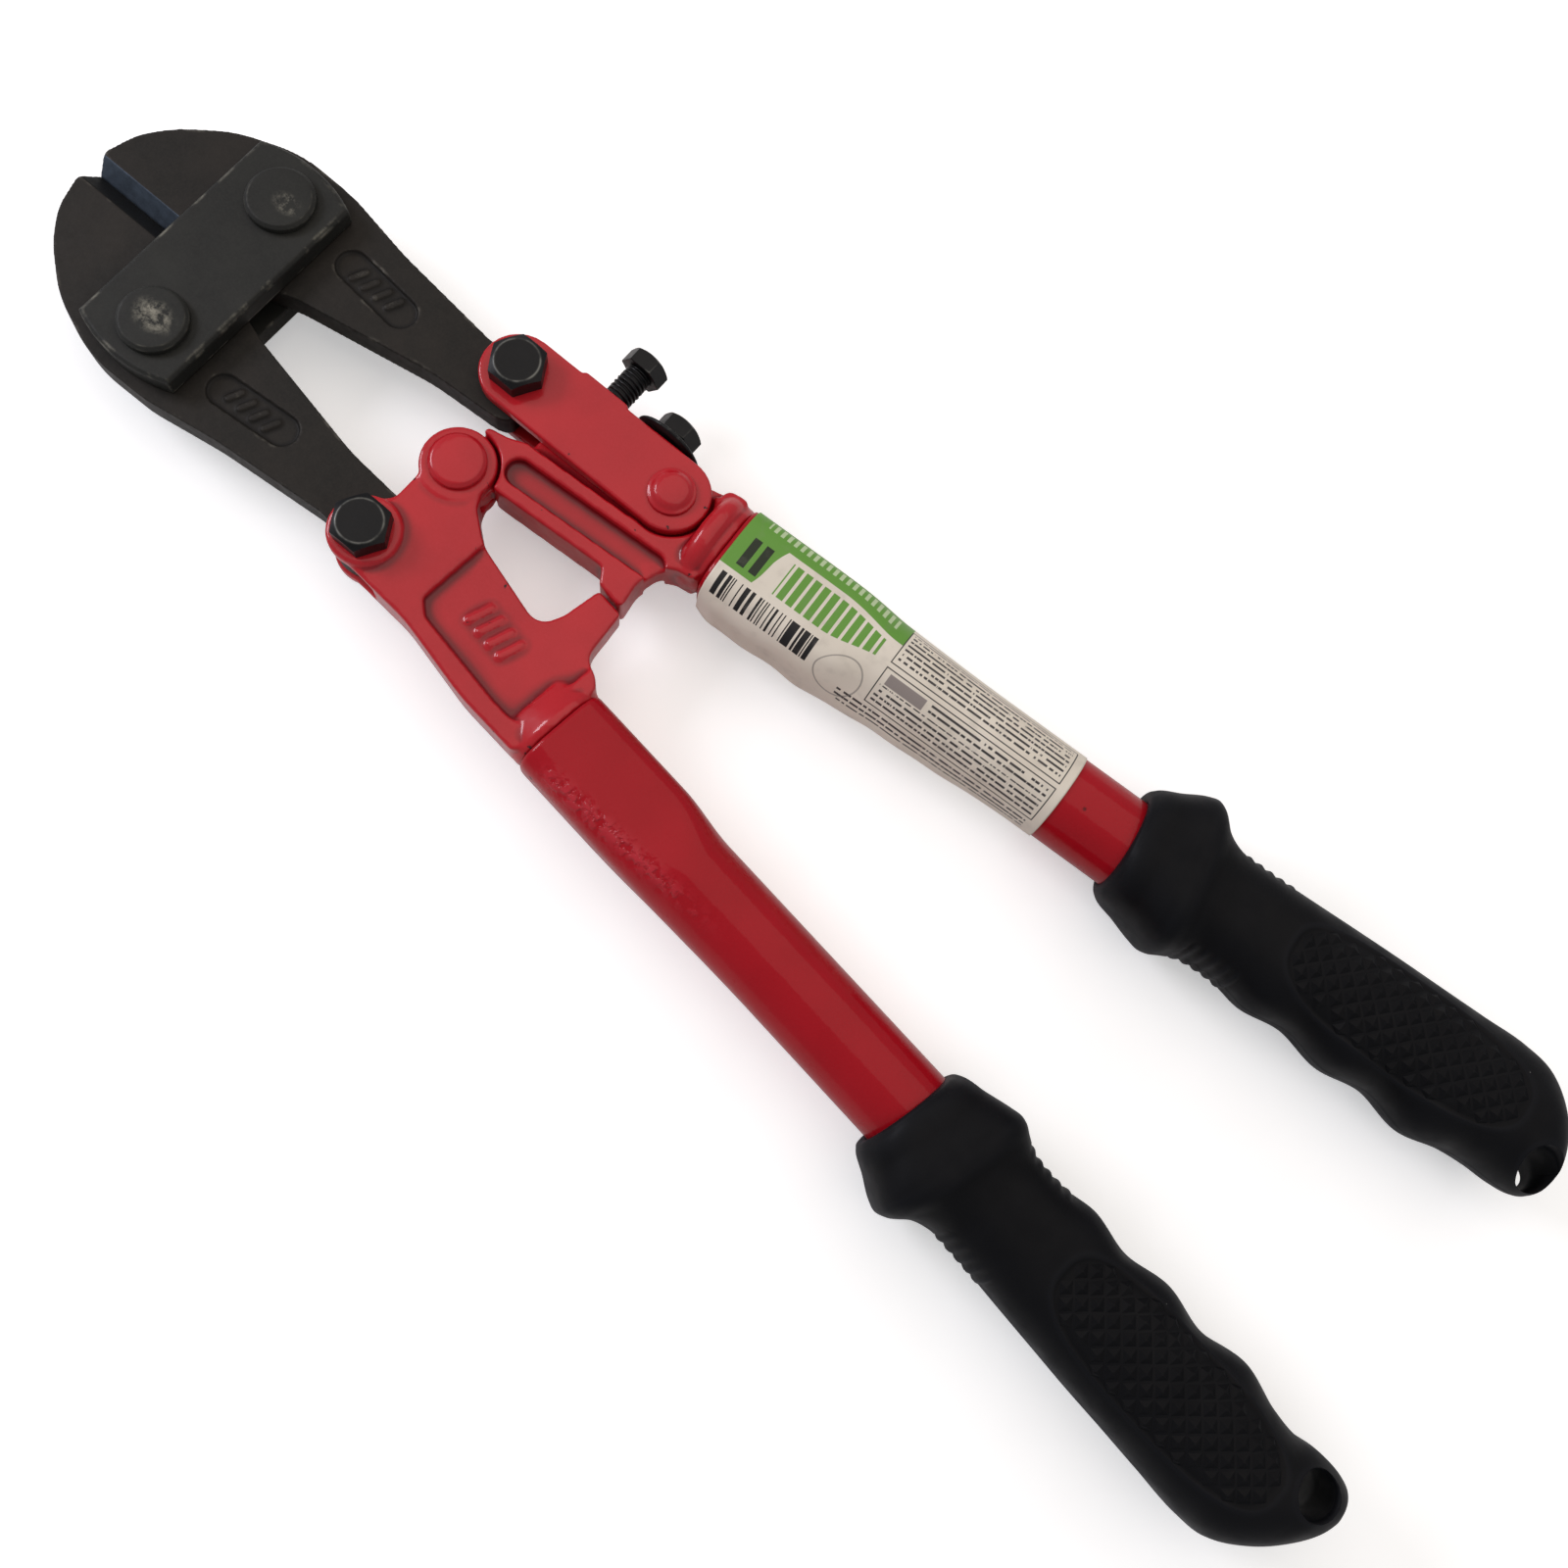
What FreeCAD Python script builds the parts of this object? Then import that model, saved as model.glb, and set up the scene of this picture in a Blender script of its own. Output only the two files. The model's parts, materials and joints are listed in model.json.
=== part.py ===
import FreeCAD, Part
import math
import os
import Sketcher

# Bolt cutters with tubular handles, nominal length 300 mm, modelled closed.
# Model frame while building: the centre pivot is the origin, +X runs from it along the handles,
# +Y is the side of the adjustable handle, +Z is the front face. At the end everything is moved
# so that the origin lies under the middle of the closed tool, at the level of its lowest point.
# All lengths are in millimetres and all angles in degrees.

SIZES = {
    # pivots, measured from the centre pivot
    "jaw_pivot_back": 58.3, "jaw_pivot_side": 16.6, "toggle_back": 3.65, "toggle_side": 21.05,
    "lever_rivet_ahead": 33.5, "lever_rivet_side": 21.4,
    # jaws
    "jaw_thick": 6.0, "jaw_depth": 28.0, "tip_reach": 33.8, "edge_length": 23.0, "edge_bevel": 3.0,
    "edge_land": 0.3, "edge_gap": 0.05, "eye_radius": 6.3, "slotted_eye_radius": 7.2,
    "tail_inner": 12.2, "pad_depth": 0.6,
    # link plates and their rivets
    "plate_thick": 4.3, "plate_width": 22.2, "plate_half_length": 26.1, "plate_chamfer": 0.6,
    "jaw_rivet_radius": 4.0, "jaw_rivet_head_radius": 6.65, "jaw_rivet_head_height": 1.9,
    # play between pieces that slide on each other
    "side_play": 0.2, "pin_play": 0.05, "loop_play_in": 2.4, "loop_play_out": 2.1, "loop_side_play": 1.15,
    "part_gap": 0.6,
    # castings
    "cheek_thick": 2.8, "face_half": 4.8, "tongue_half": 2.0, "ear_radius": 7.25, "ear_step": 0.4,
    "boss_radius": 6.9, "recess_depth": 1.4, "channel_depth": 2.2, "channel_half_width": 2.7,
    "mark_height": 0.6, "stop_gap": 0.3,
    # adjusting lever
    "lever_half_width": 7.55, "lever_web": 2.7, "lever_web_start": 5.0, "lever_web_end": 28.5,
    "lever_step_length": 11.4, "washer_gap": 0.8,
    # bolts, nuts and rivets
    "toggle_bolt_radius": 3.0, "toggle_flats": 10.0, "toggle_head_height": 4.0,
    "toggle_nut_height": 5.0, "toggle_bolt_end": 0.9,
    "centre_rivet_radius": 3.0, "centre_head_radius": 5.5, "centre_head_height": 2.0,
    "lever_rivet_radius": 3.0, "lever_head_radius": 4.7, "lever_head_height": 2.0,
    "screw_radius": 2.5, "screw_flats": 8.0, "screw_head_height": 3.6, "push_screw_ahead": 11.9,
    "push_screw_stand": 9.0, "push_screw_tip_gap": 0.5, "lock_bolt_ahead": 25.3,
    "lock_bolt_grip": 9.0, "washer_radius": 7.5, "washer_thick": 2.2,
    # handles
    "upper_start_ahead": 48.0, "upper_start_side": 20.85, "upper_angle": 3.2,
    "lower_start_ahead": 47.3, "lower_start_side": -25.7, "lower_angle": -7.5,
    "tube_radius": 8.7, "tube_wall": 1.4, "flat_half_width": 9.6, "flat_half_height": 7.5,
    "flat_length": 24.0, "flat_blend": 11.0, "tube_visible": 91.5, "tube_in_grip": 76.0,
    "tang_length": 22.0, "collar_half_width": 10.2, "collar_half_height": 8.9,
    "label_thick": 0.2, "label_length": 76.0,
    # grips
    "grip_length": 99.4, "guard_half_height": 13.0, "grip_half_height": 10.9,
    "hang_hole_radius": 4.4, "hang_hole_back": 7.0, "hang_hole_side": -5.6,
}

doc = FreeCAD.newDocument("BoltCutters")
sheet = doc.addObject("Spreadsheet::Sheet", "Sizes")
for row, (alias, amount) in enumerate(SIZES.items(), start=1):
    sheet.set("A%d" % row, alias)
    sheet.set("B%d" % row, str(amount))
    sheet.setAlias("B%d" % row, alias)
doc.recompute()

finished = []          # the objects that are written out, one for each piece


def val(alias):
    return float(sheet.get(alias))


# Levels along Z that several pieces share, as expressions and as numbers.
JAW_HALF = "Sizes.jaw_thick / 2"
SLOT_HALF = "(Sizes.jaw_thick / 2 + Sizes.side_play)"
CHEEK_FACE = "(Sizes.jaw_thick / 2 + Sizes.side_play + Sizes.cheek_thick)"
PLATE_FACE = "(Sizes.jaw_thick / 2 + Sizes.side_play + Sizes.plate_thick)"
slot_half = val("jaw_thick") / 2 + val("side_play")
cheek_face = slot_half + val("cheek_thick")
plate_face = slot_half + val("plate_thick")
ear_face = val("face_half") + val("ear_step")
jaw_pivot = (-val("jaw_pivot_back"), val("jaw_pivot_side"))
toggle = (-val("toggle_back"), val("toggle_side"))
lever_pin = (val("lever_rivet_ahead"), val("lever_rivet_side"))


# ---------------------------------------------------------------- drawing helpers

def vec(x, y, z=0.0):
    return FreeCAD.Vector(x, y, z)


def mirror(points):
    """The same outline on the other side of the X axis."""
    return [(p[0], -p[1]) + tuple(p[2:]) for p in points]


def rounded(points):
    """Edges of a closed outline. A point is (x, y) or (x, y, corner radius)."""
    count = len(points)
    starts, ends, arcs = [], [], []
    for i, point in enumerate(points):
        here = vec(point[0], point[1])
        before = vec(*points[i - 1][:2])
        after = vec(*points[(i + 1) % count][:2])
        radius = point[2] if len(point) > 2 else 0.0
        back, ahead = (before - here).normalize(), (after - here).normalize()
        half = back.getAngle(ahead) / 2
        if radius <= 0.0 or half > math.pi / 2 - 0.01:
            starts.append(here)
            ends.append(here)
            arcs.append(None)
            continue
        reach = radius / math.tan(half)
        middle = here + (back + ahead).normalize() * (radius / math.sin(half) - radius)
        starts.append(here + back * reach)
        ends.append(here + ahead * reach)
        arcs.append(middle)
    edges = []
    for i in range(count):
        if arcs[i] is not None:
            edges.append(Part.Arc(starts[i], arcs[i], ends[i]))
        edges.append(Part.LineSegment(ends[i], starts[(i + 1) % count]))
    return edges


def stadium(first, second, radius):
    """Edges of a slot outline round two centres."""
    a, b = vec(*first), vec(*second)
    along = (b - a).normalize()
    side = vec(-along.y, along.x) * radius
    return [Part.LineSegment(a - side, b - side), Part.Arc(b - side, b + along * radius, b + side),
            Part.LineSegment(b + side, a + side), Part.Arc(a + side, a - along * radius, a - side)]


def new_body(name):
    body = doc.addObject("PartDesign::Body", name)
    body.Label = name
    return body


def sketch_on(body, plane, name, level=None):
    """A sketch on one of the body's own origin planes, lifted by an expression."""
    sketch = body.newObject("Sketcher::SketchObject", name)
    support = [f for f in body.Origin.OriginFeatures if f.Role == plane][0]
    sketch.AttachmentSupport = (support, [""])
    sketch.MapMode = "FlatFace"
    if level:
        sketch.setExpression("AttachmentOffset.Base.z", level)
    return sketch


def add_circle(sketch, centre, radius_expression):
    """A circle whose radius is bound to the sheet."""
    index = sketch.addGeometry(Part.Circle(vec(*centre), vec(0, 0, 1), 1.0), False)
    sketch.addConstraint(Sketcher.Constraint("DistanceX", -1, 1, index, 3, centre[0]))
    sketch.addConstraint(Sketcher.Constraint("DistanceY", -1, 1, index, 3, centre[1]))
    constraint = sketch.addConstraint(Sketcher.Constraint("Radius", index, 1.0))
    sketch.setExpression("Constraints[%d]" % constraint, radius_expression)


def pad(body, name, level, length, edges=None, circle=None):
    """Adds material from a level upwards."""
    sketch = sketch_on(body, "XY_Plane", name + "_sketch", level)
    if edges:
        sketch.addGeometry(edges, False)
    if circle:
        add_circle(sketch, *circle)
    feature = body.newObject("PartDesign::Pad", name)
    feature.Profile = sketch
    feature.setExpression("Length", length)
    doc.recompute()
    return feature


def pocket(body, name, level, depth, edges=None, circle=None):
    """Takes material away from a level downwards, and makes sure that it does."""
    before = body.Shape.Volume
    sketch = sketch_on(body, "XY_Plane", name + "_sketch", level)
    if edges:
        sketch.addGeometry(edges, False)
    if circle:
        add_circle(sketch, *circle)
    feature = body.newObject("PartDesign::Pocket", name)
    feature.Profile = sketch
    feature.setExpression("Length", depth)
    doc.recompute()
    if body.Shape.Volume > before - 0.01:
        raise RuntimeError("%s cuts nothing from %s" % (name, body.Label))
    return feature


def chamfer_edges(body, name, size, wanted):
    """Chamfers the edges for which wanted(edge) is true."""
    base = body.Tip
    names = ["Edge%d" % (i + 1) for i, edge in enumerate(base.Shape.Edges) if wanted(edge)]
    feature = body.newObject("PartDesign::Chamfer", name)
    feature.Base = (base, names)
    feature.setExpression("Size", size)
    doc.recompute()
    return feature


def groove_along(body, name, start, length, edges):
    """Takes a prism along X away. Its section is drawn in the YZ plane."""
    before = body.Shape.Volume
    sketch = sketch_on(body, "YZ_Plane", name + "_sketch", start)
    sketch.addGeometry(edges, False)
    feature = body.newObject("PartDesign::Pocket", name)
    feature.Profile = sketch
    feature.Reversed = True
    feature.setExpression("Length", length)
    doc.recompute()
    if body.Shape.Volume > before - 0.01:
        raise RuntimeError("%s cuts nothing from %s" % (name, body.Label))
    return feature


def turned(name, profile, centre):
    """A body of revolution about a vertical axis. Profile points are (radius, height)."""
    body = new_body(name)
    sketch = sketch_on(body, "XZ_Plane", name + "_sketch")
    sketch.addGeometry(rounded(profile), False)
    feature = body.newObject("PartDesign::Revolution", name + "_turn")
    feature.Profile = sketch
    feature.ReferenceAxis = (sketch, ["V_Axis"])
    feature.Angle = 360.0
    doc.recompute()
    body.Placement = FreeCAD.Placement(vec(*centre), FreeCAD.Rotation())
    return body


def hex_prism(name, flats, height, base, axis=(0, 0, 1), both_ends=False):
    """A hexagon with its corners turned down, as on a bolt head. Flats and height are aliases."""
    prism = doc.addObject("Part::Prism", name + "_prism")
    prism.Polygon = 6
    prism.setExpression("Circumradius", "Sizes.%s / 2 / cos(30)" % flats)
    prism.setExpression("Height", "Sizes.%s" % height)
    radius, tall = val(flats) / 2, val(height)
    corner = radius / math.cos(math.radians(30))
    drop = (corner - radius) * math.tan(math.radians(30)) + 0.25
    inner = radius * 0.95
    bottom = [(0, 0), (inner, 0), (corner + 0.1, drop)] if both_ends else [(0, 0), (corner + 0.1, 0)]
    profile = bottom + [(corner + 0.1, tall - drop), (inner, tall), (0, tall)]
    limit = turned(name + "_limit", profile, (0, 0, 0))
    head = doc.addObject("Part::MultiCommon", name)
    head.Shapes = [prism, limit]
    head.Placement = FreeCAD.Placement(vec(*base), FreeCAD.Rotation(vec(0, 0, 1), vec(*axis)))
    return head


def cylinder(name, radius, height, base, axis=(0, 0, 1)):
    """A Part cylinder. Radius and height are expressions."""
    piece = doc.addObject("Part::Cylinder", name)
    piece.setExpression("Radius", radius)
    piece.setExpression("Height", height)
    piece.Placement = FreeCAD.Placement(vec(*base), FreeCAD.Rotation(vec(0, 0, 1), vec(*axis)))
    return piece


def join(name, *pieces):
    result = doc.addObject("Part::MultiFuse", name)
    result.Label = name
    result.Shapes = list(pieces)
    result.Refine = True
    doc.recompute()
    return result


def cut(name, base, *tools):
    """Takes tools away from base, one after another."""
    for number, tool in enumerate(tools):
        last = number == len(tools) - 1
        result = doc.addObject("Part::Cut", name if last else "%s_step%d" % (name, number))
        result.Base = base
        result.Tool = tool
        doc.recompute()
        if result.Shape.Volume > base.Shape.Volume - 0.01:
            raise RuntimeError("a tool cuts nothing from %s" % name)
        base = result
    base.Label = name
    return base


def ellipse_at(name, placement, along, across, side, half_height):
    """An upright ellipse of a handle, at a distance along it."""
    piece = doc.addObject("Part::Ellipse", name)
    piece.MajorRadius = max(across, half_height)
    piece.MinorRadius = min(across, half_height)
    upright = FreeCAD.Rotation(vec(0, 1, 0), vec(0, 0, 1), vec(1, 0, 0), "ZXY")
    if half_height > across:
        upright = FreeCAD.Rotation(vec(0, 0, 1), vec(0, -1, 0), vec(1, 0, 0), "ZXY")
    piece.Placement = placement * FreeCAD.Placement(vec(along, side), upright)
    return piece


def loft(name, placement, stations, ruled):
    """A solid through ellipses. A station is (along, half width, side shift, half height)."""
    rings = [ellipse_at("%s_ring%d" % (name, i), placement, *station)
             for i, station in enumerate(stations)]
    piece = doc.addObject("Part::Loft", name)
    piece.Sections = rings
    piece.Solid = True
    piece.Ruled = ruled
    doc.recompute()
    return piece


def finish(piece, name):
    piece.Label = name
    finished.append((name, piece))
    return piece


def handle_placement(prefix):
    """Where a tube starts: X runs along it."""
    start = vec(val(prefix + "_start_ahead"), val(prefix + "_start_side"))
    return FreeCAD.Placement(start, FreeCAD.Rotation(vec(0, 0, 1), val(prefix + "_angle")))


# ---------------------------------------------------------------- jaws and links

def make_jaw(name, side, slotted):
    """One forged jaw. The upper one's toggle hole is long, because the loop is opened there."""
    pivot_x, pivot_y = jaw_pivot
    depth, gap = val("jaw_depth"), val("edge_gap")
    tip = pivot_x - val("tip_reach")
    edge_end = tip + val("edge_length") + 1.0
    outline = [
        (tip + 1.0, gap), (tip + 0.2, 2.6), (tip, 4.2, 2.0), (tip + 1.7, 10.4, 14.0),
        (tip + 6.0, depth * 0.58, 26.0), (tip + 14.5, depth * 0.83, 26.0),
        (tip + 27.0, depth * 1.01, 26.0), (pivot_x + 7.0, depth, 22.0),
        (pivot_x + 22.0, depth - 2.6, 60.0), (toggle[0] - 9.4, toggle[1] + 2.1, 8.0),
        (toggle[0], toggle[1] + 3.0), (toggle[0] + 4.5, toggle[1]), (toggle[0] + 4.6, 13.0, 2.0),
        (toggle[0] + 2.0, val("tail_inner") - 0.3, 3.0), (toggle[0] - 13.0, 10.8, 40.0),
        (pivot_x + 14.0, 5.3, 6.0), (pivot_x + 1.5, 1.4, 2.0), (edge_end + 2.2, 1.4, 0.8),
        (edge_end, gap),
    ]
    centre = (pivot_x, pivot_y * side)
    eye = (toggle[0], toggle[1] * side)
    body = new_body(name)
    bottom = "-" + JAW_HALF
    shape = outline if side > 0 else mirror(outline)
    pad(body, name + "_blank", bottom, "Sizes.jaw_thick", edges=rounded(shape))
    eye_size = "Sizes.slotted_eye_radius" if slotted else "Sizes.eye_radius"
    pad(body, name + "_eye", bottom, "Sizes.jaw_thick", circle=(eye, eye_size))
    pocket(body, name + "_pivot", JAW_HALF, "Sizes.jaw_thick",
           circle=(centre, "Sizes.jaw_rivet_radius + Sizes.pin_play"))
    if slotted:
        ends = ((eye[0], eye[1] - val("loop_play_in")), (eye[0], eye[1] + val("loop_play_out")))
        radius = val("toggle_bolt_radius") + val("loop_side_play")
        pocket(body, name + "_toggle", JAW_HALF, "Sizes.jaw_thick", edges=stadium(*ends, radius))
    else:
        pocket(body, name + "_toggle", JAW_HALF, "Sizes.jaw_thick",
               circle=(eye, "Sizes.toggle_bolt_radius + Sizes.pin_play"))

    half, land, bevel = val("jaw_thick") / 2, val("edge_land") / 2, val("edge_bevel")
    for end, up in (("top", 1), ("bottom", -1)):
        inner = gap - 0.5
        wedge = [(inner * side, half * up + up), (inner * side, land * up), (gap * side, land * up),
                 ((gap + bevel) * side, half * up), ((gap + bevel) * side, half * up + up)]
        groove_along(body, "%s_bevel_%s" % (name, end),
                     "-Sizes.jaw_pivot_back - Sizes.tip_reach - 1",
                     "Sizes.edge_length + 3", rounded(wedge))
    pad_middle = (-35.6, 16.6 * side)
    ends = ((pad_middle[0] - 6.6, pad_middle[1] + 0.6 * side),
            (pad_middle[0] + 6.6, pad_middle[1] - 0.6 * side))
    pocket(body, name + "_pad", JAW_HALF, "Sizes.pad_depth", edges=stadium(*ends, 3.3))
    for number in range(4):
        middle = pad_middle[0] - 4.5 + 3.0 * number
        low = (middle - 0.6, pad_middle[1] - 1.3)
        high = (middle + 0.6, pad_middle[1] + 1.3)
        pad(body, "%s_mark%d" % (name, number), JAW_HALF + " - Sizes.pad_depth",
            "Sizes.pad_depth * 0.7", edges=stadium(low, high, 0.55))
    return finish(body, name)


def make_plate(name, front):
    """A link plate that holds both jaw pivots."""
    half_width, half_length = val("plate_width") / 2, val("plate_half_length")
    middle = jaw_pivot[0] - 0.9
    corner = half_length - 2.4
    left, right = middle - half_width, middle + half_width
    edges = [Part.LineSegment(vec(left, -corner), vec(left, corner)),
             Part.Arc(vec(left, corner), vec(middle, half_length), vec(right, corner)),
             Part.LineSegment(vec(right, corner), vec(right, -corner)),
             Part.Arc(vec(right, -corner), vec(middle, -half_length), vec(left, -corner))]
    body = new_body(name)
    level = SLOT_HALF if front else "-" + PLATE_FACE
    pad(body, name + "_blank", level, "Sizes.plate_thick", edges=edges)
    outer = plate_face if front else -plate_face
    chamfer_edges(body, name + "_chamfer", "Sizes.plate_chamfer",
                  lambda e: abs(e.BoundBox.ZMin - outer) < 0.01 and abs(e.BoundBox.ZMax - outer) < 0.01)
    top = PLATE_FACE if front else "-" + SLOT_HALF
    for number, side in enumerate((1, -1)):
        centre = (jaw_pivot[0], jaw_pivot[1] * side)
        pocket(body, "%s_hole%d" % (name, number), top, "Sizes.plate_thick",
               circle=(centre, "Sizes.jaw_rivet_radius"))
    return finish(body, name)


def rivet(name, shank, head, face, height, centre, dome=False):
    """A rivet with the same head at both ends, clamped on faces at +face and -face."""
    top = face + height
    if dome:
        cap = [(head, face), (head, face + 0.5, 0.3), (head * 0.72, top, 1.6), (0, top)]
        foot = [(0, -top), (head * 0.72, -top, 1.6), (head, -face - 0.5, 0.3), (head, -face)]
    else:
        cap = [(head, face), (head, top - 0.6, 0.3), (head - 0.7, top, 0.3), (0, top)]
        foot = [(0, -top), (head - 0.7, -top, 0.3), (head, -top + 0.6, 0.3), (head, -face)]
    profile = foot + [(shank, -face), (shank, face)] + cap
    return finish(turned(name, profile, centre), name)


def make_head():
    make_jaw("upper_jaw", 1, True)
    make_jaw("lower_jaw", -1, False)
    make_plate("front_link_plate", True)
    make_plate("back_link_plate", False)
    for name, side in (("upper_jaw_rivet", 1), ("lower_jaw_rivet", -1)):
        rivet(name, val("jaw_rivet_radius"), val("jaw_rivet_head_radius"), plate_face,
              val("jaw_rivet_head_height"), (jaw_pivot[0], jaw_pivot[1] * side, 0))


# ---------------------------------------------------------------- bolts and nuts

def make_toggle_bolt(prefix, side):
    """The hex bolt and nut on which a jaw's tail turns."""
    centre = (toggle[0], toggle[1] * side)
    bottom = cheek_face + val("toggle_nut_height") + val("toggle_bolt_end")
    shank = cylinder(prefix + "_shank", "Sizes.toggle_bolt_radius",
                     "2 * %s + Sizes.toggle_nut_height + Sizes.toggle_bolt_end" % CHEEK_FACE,
                     (centre[0], centre[1], -bottom))
    head = hex_prism(prefix + "_head", "toggle_flats", "toggle_head_height",
                     (centre[0], centre[1], cheek_face))
    finish(join(prefix + "_bolt", shank, head), prefix + "_bolt")
    nut = hex_prism(prefix + "_nut_blank", "toggle_flats", "toggle_nut_height",
                    (centre[0], centre[1], -cheek_face - val("toggle_nut_height")), both_ends=True)
    bore = cylinder(prefix + "_nut_bore", "Sizes.toggle_bolt_radius", "Sizes.toggle_nut_height",
                    (centre[0], centre[1], -cheek_face - val("toggle_nut_height")))
    finish(cut(prefix + "_nut", nut, bore), prefix + "_nut")


lever_outer = toggle[1] + val("lever_half_width")          # outer face of the lever's web
web_inner = lever_outer - val("lever_web")                 # its inner face
casting_rib = web_inner - 1.6                              # the casting's edge inside the lever


def make_adjusters():
    """The push screw, the lock bolt and its dished washer, all across the lever's web."""
    tip = casting_rib + val("push_screw_tip_gap")
    under_head = lever_outer + val("push_screw_stand")
    x = val("push_screw_ahead")
    shank = doc.addObject("Part::Cylinder", "push_screw_shank")
    shank.setExpression("Radius", "Sizes.screw_radius")
    shank.Height = under_head - tip
    along = FreeCAD.Rotation(vec(0, 0, 1), vec(0, 1, 0))
    shank.Placement = FreeCAD.Placement(vec(x, tip), along)
    head = hex_prism("push_screw_head", "screw_flats", "screw_head_height", (x, under_head, 0),
                     axis=(0, 1, 0))
    finish(join("push_screw", shank, head), "push_screw")

    x = val("lock_bolt_ahead")
    seat = lever_outer + val("washer_gap")
    under_head = seat + val("washer_thick") + 0.1
    shank = doc.addObject("Part::Cylinder", "lock_bolt_shank")
    shank.setExpression("Radius", "Sizes.screw_radius")
    shank.Height = under_head - casting_rib + val("lock_bolt_grip")
    shank.Placement = FreeCAD.Placement(vec(x, casting_rib - val("lock_bolt_grip")), along)
    head = hex_prism("lock_bolt_head", "screw_flats", "screw_head_height", (x, under_head, 0),
                     axis=(0, 1, 0))
    finish(join("lock_bolt", shank, head), "lock_bolt")
    outer, bore, thick = val("washer_radius"), val("screw_radius") + 0.1, val("washer_thick")
    profile = [(bore, 0), (outer - 1.0, 0, 0.3), (outer, 0.5, 0.3), (outer, 1.0, 0.3),
               (outer * 0.62, thick, 1.5), (bore, thick)]
    washer = turned("lock_washer", profile, (0, 0, 0))
    washer.Placement = FreeCAD.Placement(vec(x, seat), along)
    finish(washer, "lock_washer")


# ---------------------------------------------------------------- castings and lever

def both_faces(body, name, level, depth, edges):
    """The same pocket in the front and in the back face. Level and depth are expressions."""
    pocket(body, name + "_front", level, depth, edges=edges)
    pocket(body, name + "_back", "-%s + %s" % (level, depth), depth, edges=edges)


def tang(name, placement):
    """The tongue of a casting inside its tube."""
    clear = 0.1
    wide = val("flat_half_width") - val("tube_wall") - clear
    tall = val("flat_half_height") - val("tube_wall") - clear
    return loft(name, placement, [(-4.0, wide, 0, tall), (val("tang_length"), wide, 0, tall)], True)


def shoulder(name, placement, reach, front_half):
    """The swelling of a casting up to the size of its tube. Its front is front_half thick."""
    wide, tall = val("flat_half_width"), val("flat_half_height")
    stations = [(-reach, wide - 0.6, 0, front_half - 0.3), (-1.6, wide + 0.1, 0, tall + 0.1),
                (-0.15, wide - 0.1, 0, tall - 0.1)]
    return loft(name, placement, stations, True)


def make_fixed_casting():
    """The casting of the lower handle: a fork round the centre tongue and the lower jaw's tail."""
    boss_x, boss_y = toggle[0], -toggle[1]
    seam = handle_placement("lower")
    low = seam.multVec(vec(-2.0, -val("flat_half_width") + 0.3))
    high = seam.multVec(vec(-1.0, val("flat_half_width") - 0.2))
    gap = val("stop_gap") / 2
    outline = [
        (-4.1, -4.0), (-4.1, -12.6, 3.0), (boss_x - 4.6, boss_y + 4.6), (boss_x - 4.0, boss_y - 5.2),
        (boss_x + 2.0, boss_y - 6.6, 12.0), (12.8, -28.8, 30.0), (30.0, -33.0, 40.0),
        (low.x, low.y, 1.5), (high.x, high.y, 1.2), (high.x - 1.6, high.y + 1.7, 1.6),
        (42.0, -12.2, 3.2), (41.3, -1.9 - gap, 0.8), (35.3, -1.0 - gap, 0.8), (33.6, -9.0, 3.0),
        (31.2, -13.7, 3.6), (13.8, -8.6, 9.0), (8.3, -4.2, 3.0), (6.6, 0.0),
    ]
    name = "fixed_casting"
    body = new_body(name + "_body")
    double = "2 * Sizes.face_half"
    pad(body, "fixed_web", "-Sizes.face_half", double, edges=rounded(outline))
    pad(body, "fixed_boss", "-" + CHEEK_FACE, "2 * " + CHEEK_FACE,
        circle=((boss_x, boss_y), "Sizes.boss_radius"))
    pad(body, "fixed_ear", "-(Sizes.face_half + Sizes.ear_step)",
        "2 * (Sizes.face_half + Sizes.ear_step)", circle=((0, 0), "Sizes.ear_radius"))
    recess = [(14.8, -2.0), (12.6, -23.6, 1.6), (15.4, -26.0, 1.2), (35.5, -29.9, 9.0),
              (41.8, -30.4, 2.5), (44.4, -12.0), (44.4, 3.0)]
    both_faces(body, "fixed_recess", "Sizes.face_half", "Sizes.recess_depth", rounded(recess))
    for number in range(4):
        middle = (22.2 + 2.9 * number, -18.9 - 0.55 * number)
        low_end, high_end = (middle[0] - 0.8, middle[1] - 2.1), (middle[0] + 0.8, middle[1] + 2.1)
        pad(body, "fixed_mark%d" % number, "Sizes.face_half - Sizes.recess_depth",
            "Sizes.mark_height", edges=stadium(low_end, high_end, 0.65))
    far = 40.0
    jaw_slot = [(-far, -9.6), (0.8, -9.6), (3.9, -12.6, 1.5), (3.9, -far), (-far, -far)]
    pocket(body, "fixed_jaw_slot", SLOT_HALF, "2 * " + SLOT_HALF, edges=rounded(jaw_slot))
    tongue_play = "(Sizes.tongue_half + Sizes.side_play)"
    pocket(body, "fixed_tongue_slot", tongue_play, "2 * " + tongue_play,
           circle=((0, 0), "Sizes.ear_radius + Sizes.part_gap + 0.2"))
    pocket(body, "fixed_centre_hole", CHEEK_FACE, "2 * " + CHEEK_FACE,
           circle=((0, 0), "Sizes.centre_rivet_radius"))
    pocket(body, "fixed_toggle_hole", CHEEK_FACE, "2 * " + CHEEK_FACE,
           circle=((boss_x, boss_y), "Sizes.toggle_bolt_radius"))
    swell = shoulder("fixed_shoulder", seam, 7.0, val("face_half"))
    finish(join(name, body, swell, tang("fixed_tang", seam)), name)


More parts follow.
